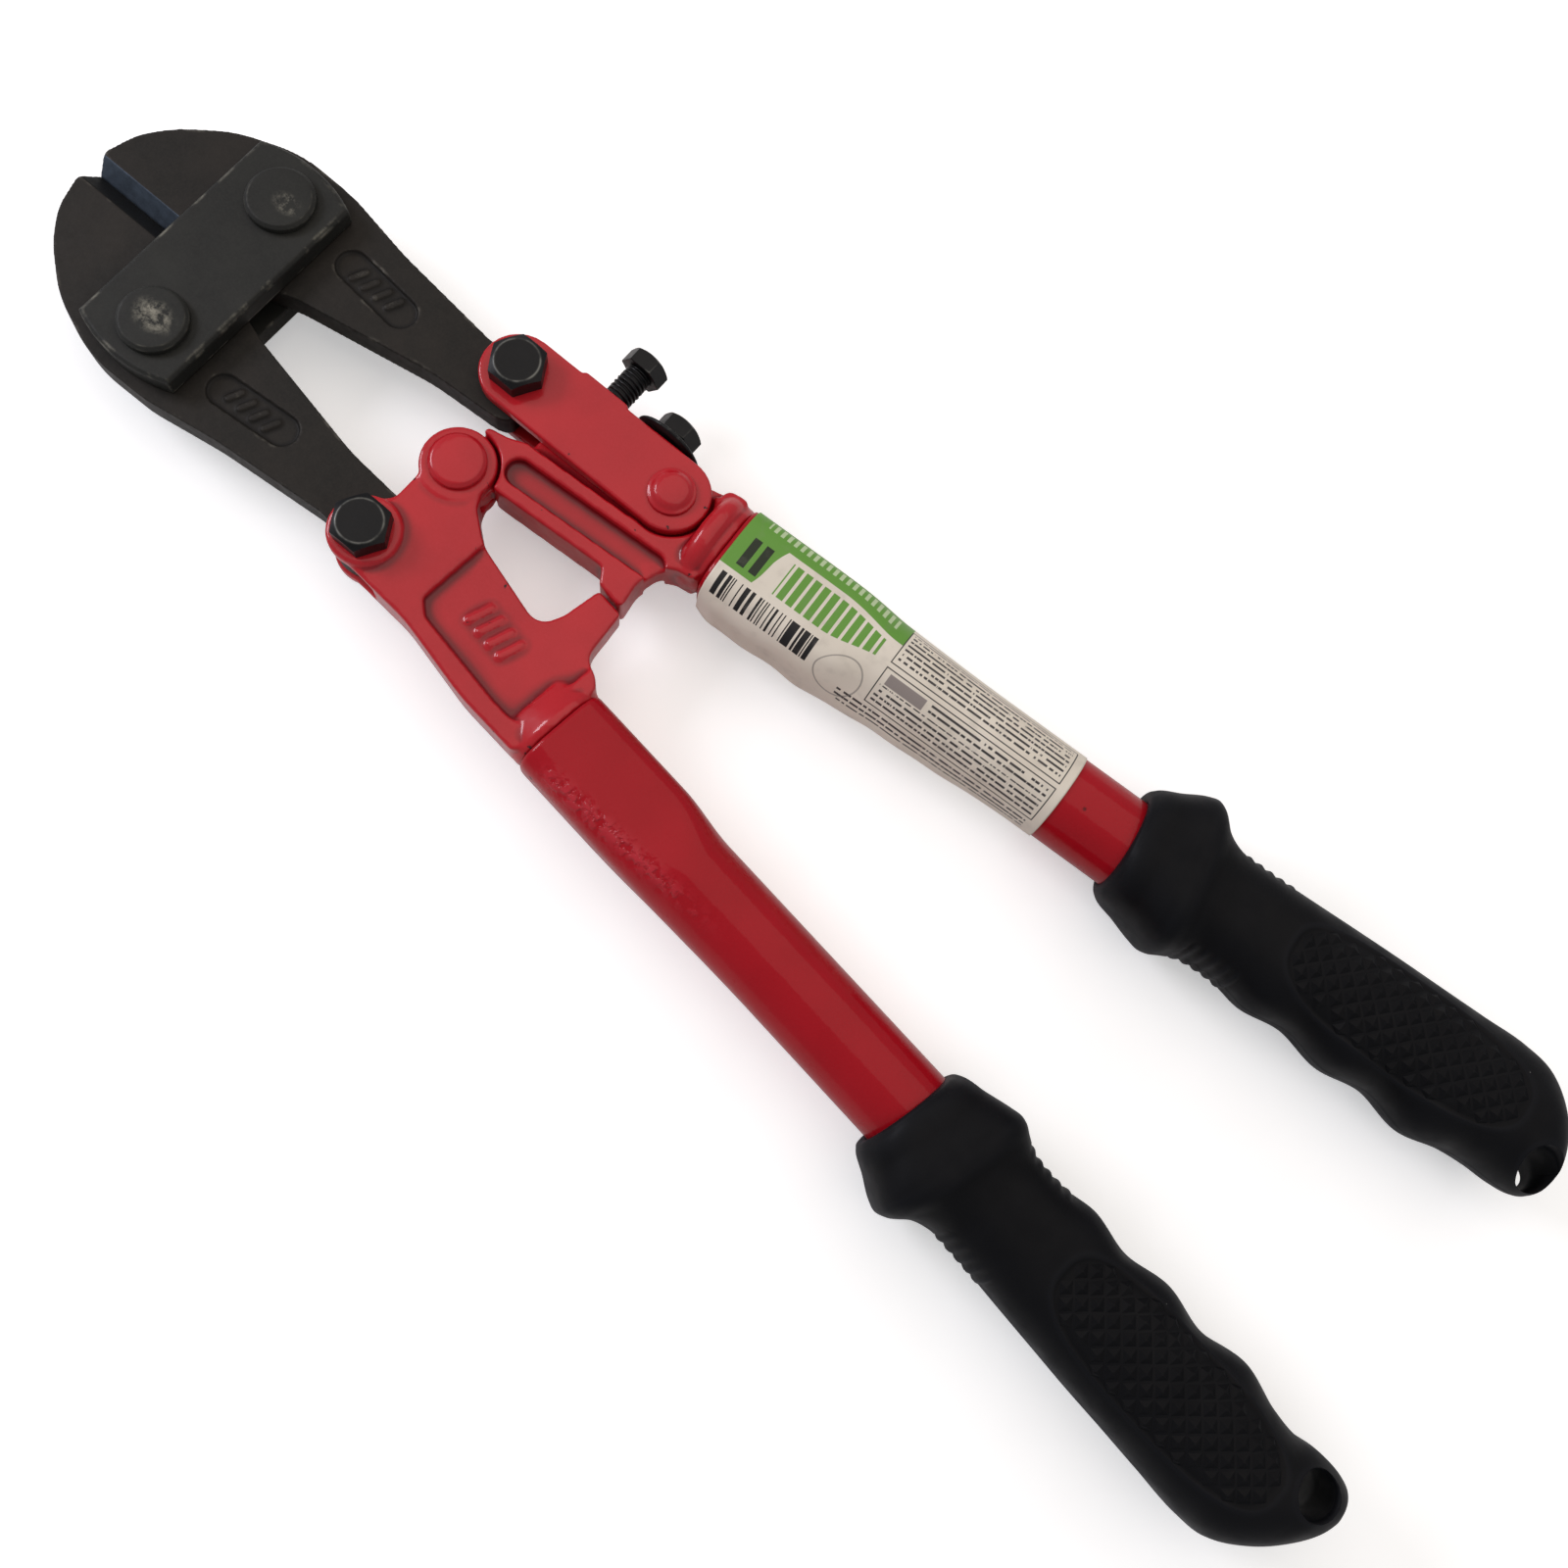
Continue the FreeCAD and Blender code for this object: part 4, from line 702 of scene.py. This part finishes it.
def makeGrip(prefix):
    place = handles[prefix][0]
    shape, own = gripShape, gripShape[prefix]
    # the bore for the tube: rings from its floor out to the mouth, which is cut on the slant
    angle = np.linspace(0, 2 * math.pi, shape["around"], endpoint=False)
    circle = np.stack([np.zeros_like(angle), np.cos(angle), np.sin(angle)], axis=1) * shape["boreRadius"]
    bore = [circle + [along, 0, 0] for along in shape["boreRings"]]
    lip = circle.copy()
    lip[:, 0] = -shape["mouthSlant"] * np.cos(angle)
    rings = np.concatenate([np.array(bore + [lip]), gripSkin(shape, own)])
    mesh = ringMesh(prefix + "Skin", rings * mm, startPole=np.array([shape["boreRings"][0], 0, 0]) * mm,
                    endPole=np.array(own["pole"]) * mm)
    grip = looseObject(prefix + "Skin", mesh)
    profile, turns = shape["hole"], np.linspace(0, 2 * math.pi, shape["holeSides"], endpoint=False)
    mount = next(m for m in record["mounts"] if m["name"] == prefix + "_hang_hole")
    hx, hy, hz = (place.inverted() @ Vector(mount["pos_m"])) / mm
    tool = np.array([[(hx + r * math.cos(a), hy + r * math.sin(a), h) for a in turns] for h, r in profile])
    toolMesh = ringMesh("holeTool", tool * mm, startPole=np.array([hx, hy, profile[0][0]]) * mm,
                        endPole=np.array([hx, hy, profile[-1][0]]) * mm)
    cutter = looseObject("holeTool", toolMesh)
    boolean = grip.modifiers.new("hole", "BOOLEAN")
    boolean.operation = "DIFFERENCE"
    boolean.solver = "EXACT"
    boolean.object = cutter
    mesh = evaluatedMesh(grip)
    bpy.data.objects.remove(cutter)
    storeRelief(mesh, 0.05 * mm, 6)
    return mesh


# knurl of the grips: small blunt pyramids on a slanting grid, dropped on the skin

knurlSpan = 60 * mm         # the grid that the panel is cut from
knurl = {"Pitch": 2.7 * mm, "Height": 0.6 * mm, "Panel Length": 24.3 * mm, "Panel Width": 8.0 * mm}


def startTree(name, sizes, vectors=()):
    # a tree that takes a mesh, named sizes, named places and a material
    tree = bpy.data.node_groups.new(name, "GeometryNodeTree")
    inputs = [("Geometry", "Geometry")] + [(size, "Float") for size in sizes]
    inputs += [(vector, "Vector") for vector in vectors] + [("Material", "Material")]
    for socket, kind in inputs:
        tree.interface.new_socket(socket, in_out="INPUT", socket_type="NodeSocket" + kind)
    tree.interface.new_socket("Geometry", in_out="OUTPUT", socket_type="NodeSocketGeometry")
    return tree, addNode(tree, "NodeGroupInput").outputs


def endTree(tree, geometry, material):
    real = addNode(tree, "GeometryNodeRealizeInstances", None, {"Geometry": geometry})
    painted = addNode(tree, "GeometryNodeSetMaterial", None,
                      {"Geometry": real.outputs[0], "Material": material})
    addNode(tree, "NodeGroupOutput", None, {0: painted.outputs[0]})
    return tree


def knurlTree():
    tree, get = startTree("knurlOnSkin", knurl, ["Centre"])
    count = addNode(tree, "ShaderNodeMath", {"operation": "DIVIDE", 0: knurlSpan}, {1: get["Pitch"]})
    count = throughNodes(tree, count.outputs[0], [("ShaderNodeMath", {"operation": "CEIL"})])
    size = addNode(tree, "ShaderNodeMath", {"operation": "MULTIPLY"}, {0: count, 1: get["Pitch"]}).outputs[0]
    corners = throughNodes(tree, count, [("ShaderNodeMath", {"operation": "ADD", 1: 1.0})])
    grid = addNode(tree, "GeometryNodeMeshGrid", None, {
        "Size X": size, "Size Y": size, "Vertices X": corners, "Vertices Y": corners})
    # one grid above the front face and one below the back face, both turned by 45 degrees
    both = addNode(tree, "GeometryNodeJoinGeometry")
    for height in (20 * mm, -20 * mm):
        lift = throughNodes(tree, get["Centre"], [
            ("ShaderNodeVectorMath", {"operation": "ADD", 1: (0, 0, height)})])
        turned = addNode(tree, "GeometryNodeTransform", {"Rotation": (0, 0, math.radians(45))},
                         {"Geometry": grid.outputs["Mesh"], "Translation": lift})
        tree.links.new(turned.outputs[0], both.inputs[0])
    place = addNode(tree, "GeometryNodeInputPosition").outputs[0]
    fromCentre = addNode(tree, "ShaderNodeVectorMath", {"operation": "SUBTRACT"},
                         {0: place, 1: get["Centre"]})
    axes = addNode(tree, "ShaderNodeSeparateXYZ", None, {0: fromCentre.outputs[0]})
    terms = []
    for axis, limit in ((0, "Panel Length"), (1, "Panel Width")):
        share = addNode(tree, "ShaderNodeMath", {"operation": "DIVIDE"},
                        {0: axes.outputs[axis], 1: get[limit]})
        terms.append(throughNodes(tree, share.outputs[0], [
            ("ShaderNodeMath", {"operation": "ABSOLUTE"}),
            ("ShaderNodeMath", {"operation": "POWER", 1: 2.8})]))
    reach = addNode(tree, "ShaderNodeMath", {"operation": "ADD"}, {0: terms[0], 1: terms[1]})
    outside = addNode(tree, "ShaderNodeMath", {"operation": "GREATER_THAN", 1: 1.0}, {0: reach.outputs[0]})
    kept = addNode(tree, "GeometryNodeDeleteGeometry", {"domain": "POINT"},
                   {"Geometry": both.outputs[0], "Selection": outside.outputs[0]})
    down = addNode(tree, "ShaderNodeVectorMath", {"operation": "MULTIPLY", 1: (0, 0, -1)}, {0: place})
    hit = addNode(tree, "GeometryNodeRaycast", {"Ray Length": 0.1}, {
        "Target Geometry": get["Geometry"], "Source Position": place, "Ray Direction": down.outputs[0]})
    points = addNode(tree, "GeometryNodeMeshToPoints", None, {"Mesh": kept.outputs[0]})
    stored = addNode(tree, "GeometryNodeStoreNamedAttribute",
                     {"data_type": "FLOAT_VECTOR", "domain": "POINT", "Name": "skinNormal"},
                     {"Geometry": points.outputs[0], "Value": hit.outputs["Hit Normal"]})
    dropped = addNode(tree, "GeometryNodeSetPosition", None,
                      {"Geometry": stored.outputs[0], "Position": hit.outputs["Hit Position"]})
    base = addNode(tree, "ShaderNodeMath", {"operation": "MULTIPLY", 1: 0.69}, {0: get["Pitch"]})
    tip = addNode(tree, "ShaderNodeMath", {"operation": "MULTIPLY", 1: 0.1}, {0: get["Pitch"]})
    cone = addNode(tree, "GeometryNodeMeshCone", {"Vertices": 4}, {
        "Radius Top": tip.outputs[0], "Radius Bottom": base.outputs[0], "Depth": get["Height"]})
    sunk = addNode(tree, "GeometryNodeTransform", {"Translation": (0, 0, -0.12 * mm)},
                   {"Geometry": cone.outputs["Mesh"]})
    normal = addNode(tree, "GeometryNodeInputNamedAttribute",
                     {"data_type": "FLOAT_VECTOR", "Name": "skinNormal"})
    aligned = addNode(tree, "FunctionNodeAlignRotationToVector", {"axis": "Z"}, {"Vector": normal.outputs[0]})
    copies = addNode(tree, "GeometryNodeInstanceOnPoints", None, {
        "Points": dropped.outputs[0], "Instance": sunk.outputs[0], "Rotation": aligned.outputs[0]})
    return endTree(tree, copies.outputs[0], get["Material"])


def applyTree(mesh, tree, values):
    # runs a node tree on a mesh and returns the plain result
    carrier = looseObject(tree.name, mesh)
    modifier = carrier.modifiers.new(tree.name, "NODES")
    modifier.node_group = tree
    sockets = {item.name: item.identifier for item in tree.interface.items_tree
               if item.item_type == "SOCKET" and item.in_out == "INPUT"}
    for name, value in values.items():
        modifier[sockets[name]] = value
    return evaluatedMesh(carrier)


def withTransform(mesh, matrix):
    mesh.transform(matrix)
    if matrix.determinant() < 0:
        mesh.flip_normals()
    return mesh


knurlNodes = knurlTree()
for prefix in handles:
    place = handles[prefix][0]
    skin = makeGrip(prefix)
    values = dict(knurl, Centre=Vector((*gripShape[prefix]["panel"], 0)) * mm, Material=gripRubber)
    studs = applyTree(skin.copy(), knurlNodes, values)
    grip = placePiece(prefix + "Grip", withTransform(skin, place), prefix + "_grip", gripRubber)
    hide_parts(prefix + "_grip")
    studPiece = placePiece(prefix + "GripKnurl", withTransform(studs, place), prefix + "_grip", gripRubber)
    studPiece.data.shade_flat()
    print(prefix, "grip made:", len(skin.polygons), "faces,", len(studs.polygons), "in the knurl")


# tubes

tubeShape = {"rings": 200, "around": 120, "wall": 1.4, "length": 167.5,
             "flat": (9.6, 9.6, 7.5, 3.4), "round": (8.7, 8.7, 8.7, 2.0),
             "easeOuter": (16.0, 60.0), "ease": (23.0, 36.0),
             "end": ((0.0, -0.35), (0.12, -0.08)),     # deburred end: along, and how far it is drawn in
             # a run of thick paint along the front, in degrees: where it starts, turn for each mm, width
             "run": (38, 0.5, 10), "runFrom": (2, 8), "runTo": (30, 50)}


def tubeSection(along, shape):
    # outer half width, inner half width, half height and squareness along the tube
    shares = [smoothStep(along, *shape[key]) for key in ("easeOuter", "ease", "ease", "ease")]
    flat, full = np.array(shape["flat"]), np.array(shape["round"])
    return flat + (full - flat) * np.stack(shares, axis=1)


def sectionPoints(section, angle, grow):
    # points round each section; angle 0 is the outer side, a quarter turn on is the front
    c, s = np.cos(angle)[None, :], np.sin(angle)[None, :]
    power = 2 / section[:, 3:4]
    half = np.where(c > 0, section[:, 0:1], section[:, 1:2]) + grow
    return half * np.sign(c) * np.abs(c) ** power, (section[:, 2:3] + grow) * np.sign(s) * np.abs(s) ** power


def tubeRings(along, grow, shape):
    angle = np.linspace(0, 2 * math.pi, shape["around"], endpoint=False)
    y, z = sectionPoints(tubeSection(along, shape), angle, grow)
    return np.dstack([np.repeat(along[:, None], shape["around"], 1), y, z])


def makeTube(prefix):
    place, start = handles[prefix]
    shape = tubeShape
    along = np.linspace(0, shape["length"], shape["rings"])
    outer = [tubeRings(np.array([x]), grow, shape) for x, grow in shape["end"]]
    inner = tubeRings(along[::-4], -shape["wall"], shape)
    rings = np.concatenate(outer + [tubeRings(along[1:], 0.0, shape), inner])
    mesh = ringMesh(prefix + "Tube", rings * mm, joined=True)
    first, twist, width = shape["run"]
    x, turn = rings[..., 0], np.degrees(np.arctan2(rings[..., 2], rings[..., 1]))
    run = np.exp(-((turn - first - twist * x) / width) ** 2) * smoothStep(x, *shape["runFrom"])
    storeValue(mesh, "run", (run * (1 - smoothStep(x, *shape["runTo"]))).ravel())
    storeRelief(mesh, 0.5 * mm, 2)
    return withTransform(mesh, place @ Matrix.Translation((start, 0, 0)))


for prefix in handles:
    tube = placePiece(prefix + "Tube", makeTube(prefix), prefix + "_tube", tubeEnamel)
    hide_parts(prefix + "_tube")
print("tubes made")


# label: a film round the upper tube whose last edge has come loose and hangs

labelShape = {
    "along": 220, "across": 130, "thick": 0.16, "gap": 0.12, "from": -150.0, "to": 206.0,
    # the hanging edge: how far in mm, from which angle, its waves (how many, how deep, shift), and how it droops
    "loose": 2.3, "looseFrom": 140.0, "waves": ((19, 0.1, 0), (43, 0.06, 1)), "droop": 0.25,
    "seen": 18.0, "sheetRadius": 8.8}     # angle of the print's upper edge, and the radius it is measured at


def makeLabel():
    place, start = handles["upper"]
    shape = labelShape
    toHandle = place.inverted()
    ends = [(toHandle @ Vector(p)).x for p in coordinates(frame["nodes"]["label_sleeve"].data)]
    low, high = min(ends) / mm, max(ends) / mm
    along = np.linspace(low, high, shape["along"])
    angle = np.radians(np.linspace(shape["from"], shape["to"], shape["across"]))
    section = tubeSection(along - start / mm, tubeShape)
    share = (along - low) / (high - low)
    # how far the edge hangs: most at the first half, wavy, gone at the far end
    ripple = 0.9 + sum(deep * np.sin(share * often + shift) for often, deep, shift in shape["waves"])
    hang = shape["loose"] * ripple * (1 - smoothStep(share, 0.45, 0.97)) * smoothStep(share, -0.05, 0.06)
    sheets = []
    for thick in (shape["thick"], 0.0):
        y, z = sectionPoints(section, angle, thick + shape["gap"])
        loosened = smoothStep(angle, math.radians(shape["looseFrom"]), math.radians(shape["to"]))
        loose = loosened[None, :] * hang[:, None]
        flat = np.repeat(along[:, None], len(angle), 1)
        sheets.append(np.dstack([flat, y - loose, z + shape["droop"] * loose]))
    # the section of the film is a thin closed ring: out along the top face and back along the under face
    rings = np.concatenate([sheets[0], sheets[1][:, ::-1]], axis=1)
    mesh = ringMesh("label", rings * mm)
    sheet = np.zeros((len(mesh.vertices), 3))
    arc = (angle - math.radians(shape["seen"])) * shape["sheetRadius"]
    around = np.concatenate([arc, arc[::-1]])
    sheet[:, 0] = np.repeat(along - low, len(around))
    sheet[:, 1] = np.tile(around, len(along))
    attribute = mesh.attributes.new("sheet", "FLOAT_VECTOR", "POINT")
    attribute.data.foreach_set("vector", sheet.astype(np.float32).ravel())
    build = bmesh.new()
    build.from_mesh(mesh)
    bmesh.ops.holes_fill(build, edges=[e for e in build.edges if e.is_boundary])
    build.to_mesh(mesh)
    build.free()
    return withTransform(mesh, place)


label = placePiece("labelFilm", makeLabel(), "label_sleeve", labelFilm)
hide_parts("label_sleeve")
print("label made")


# thread of the push screw: a ridge that winds round the shank

thread = {"Radius": 2.45 * mm, "Pitch": 0.9 * mm, "Ridge": 0.42 * mm, "Length": 9.0 * mm}


def threadTree():
    tree, get = startTree("woundRidge", thread)
    turns = addNode(tree, "ShaderNodeMath", {"operation": "DIVIDE"}, {0: get["Length"], 1: get["Pitch"]})
    helix = addNode(tree, "GeometryNodeCurveSpiral", {"Resolution": 40}, {
        "Rotations": turns.outputs[0], "Start Radius": get["Radius"], "End Radius": get["Radius"],
        "Height": get["Length"]})
    profile = addNode(tree, "GeometryNodeCurvePrimitiveCircle", {"Resolution": 4}, {"Radius": get["Ridge"]})
    ridge = addNode(tree, "GeometryNodeCurveToMesh", {"Fill Caps": True},
                    {"Curve": helix.outputs[0], "Profile Curve": profile.outputs[0]})
    return endTree(tree, ridge.outputs[0], get["Material"])


low, high = [Vector(corner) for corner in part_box("push_screw")]
ridge = applyTree(bpy.data.meshes.new("threadBlank"), threadTree(), dict(thread, Material=boltSteel))
# the ridge stands upright at the origin: laid along Y and moved to the bare shank under the head
shankStart = Vector(((low.x + high.x) / 2, high.y - 3.6 * mm, (low.z + high.z) / 2))
ridge.transform(Matrix.Translation(shankStart) @ Matrix.Rotation(math.radians(90), 4, "X"))
placePiece("pushScrewThread", ridge, "push_screw", boltSteel)
print("thread made:", len(ridge.polygons), "faces")


# floor, light and camera

def makeStage():
    build = bmesh.new()
    bmesh.ops.create_grid(build, x_segments=1, y_segments=1, size=2.0)
    mesh = bpy.data.meshes.new("floor")
    build.to_mesh(mesh)
    build.free()
    mesh.transform(Matrix.Translation((0, 0, -0.3 * mm)))
    material, tree, shader = newMaterial("matteStudioPaper", {"Roughness": 0.9, "Specular IOR Level": 0.2})
    place = addNode(tree, "ShaderNodeTexCoord").outputs["Object"]
    paper = layerColours(tree, "#f4f3f1", [(mottle(tree, place, 40.0), "#f8f8f7")])
    tree.links.new(paper, shader.inputs["Base Color"])
    # lifted a little towards white, only where the camera sees the paper itself
    seen = addNode(tree, "ShaderNodeLightPath").outputs["Is Camera Ray"]
    lift = addNode(tree, "ShaderNodeMath", {"operation": "MULTIPLY", 1: 0.4}, {0: seen}).outputs[0]
    tree.links.new(lift, shader.inputs["Emission Strength"])
    shader.inputs["Emission Color"].default_value = linearColour("#ffffff")
    mesh.materials.append(material)
    floor = looseObject("studioFloor", mesh)


def addLight(name, place, target, size, power, colour):
    data = bpy.data.lights.new(name, "AREA")
    data.shape = "RECTANGLE"
    data.size, data.size_y = size
    data.energy = power
    data.color = linearColour(colour)[:3]
    light = bpy.data.objects.new(name, data)
    bpy.context.collection.objects.link(light)
    light.location = place
    light.rotation_euler = (Vector(target) - Vector(place)).to_track_quat("-Z", "Y").to_euler()


makeStage()
lights = {
    "overhead": {"place": (0.05, 0.56, 0.82), "target": (0.05, 0.56, 0.0), "size": (1.4, 1.48),
                 "power": 4.9, "colour": "#fff1e4"},
    "leftWindow": {"place": (-0.75, -0.14, 0.5), "target": (0.0, 0.0, 0.0), "size": (0.34, 0.26),
                   "power": 3.1, "colour": "#f4f4ff"},
}
for name, light in lights.items():
    addLight(name, **light)
world = bpy.data.worlds.new("studioAir")
world.use_nodes = True
world.node_tree.nodes["Background"].inputs["Color"].default_value = linearColour("#e8ebf0")
world.node_tree.nodes["Background"].inputs["Strength"].default_value = 0.45
bpy.context.scene.world = world
bpy.context.scene.view_settings.view_transform = "Standard"

cameraView = {
    "fromPivot": (102.19, -70.30, 280.05),      # mm from the centre rivet's middle
    "right": (0.76947, 0.63162, 0.09467), "up": (-0.63562, 0.74285, 0.21013), "lens": 36.0, "sensor": 36.0,
}
cameraData = bpy.data.cameras.new("studioCamera")
cameraData.lens, cameraData.sensor_width = cameraView["lens"], cameraView["sensor"]
cameraData.clip_start, cameraData.clip_end = 0.01, 20.0
camera = bpy.data.objects.new("studioCamera", cameraData)
bpy.context.collection.objects.link(camera)
right, up = Vector(cameraView["right"]), Vector(cameraView["up"])
turn = Matrix((right, up, right.cross(up))).transposed().to_4x4()
camera.matrix_world = Matrix.Translation(centrePivot + Vector(cameraView["fromPivot"]) * mm) @ turn
bpy.context.scene.camera = camera

# end

bpy.context.view_layer.update()
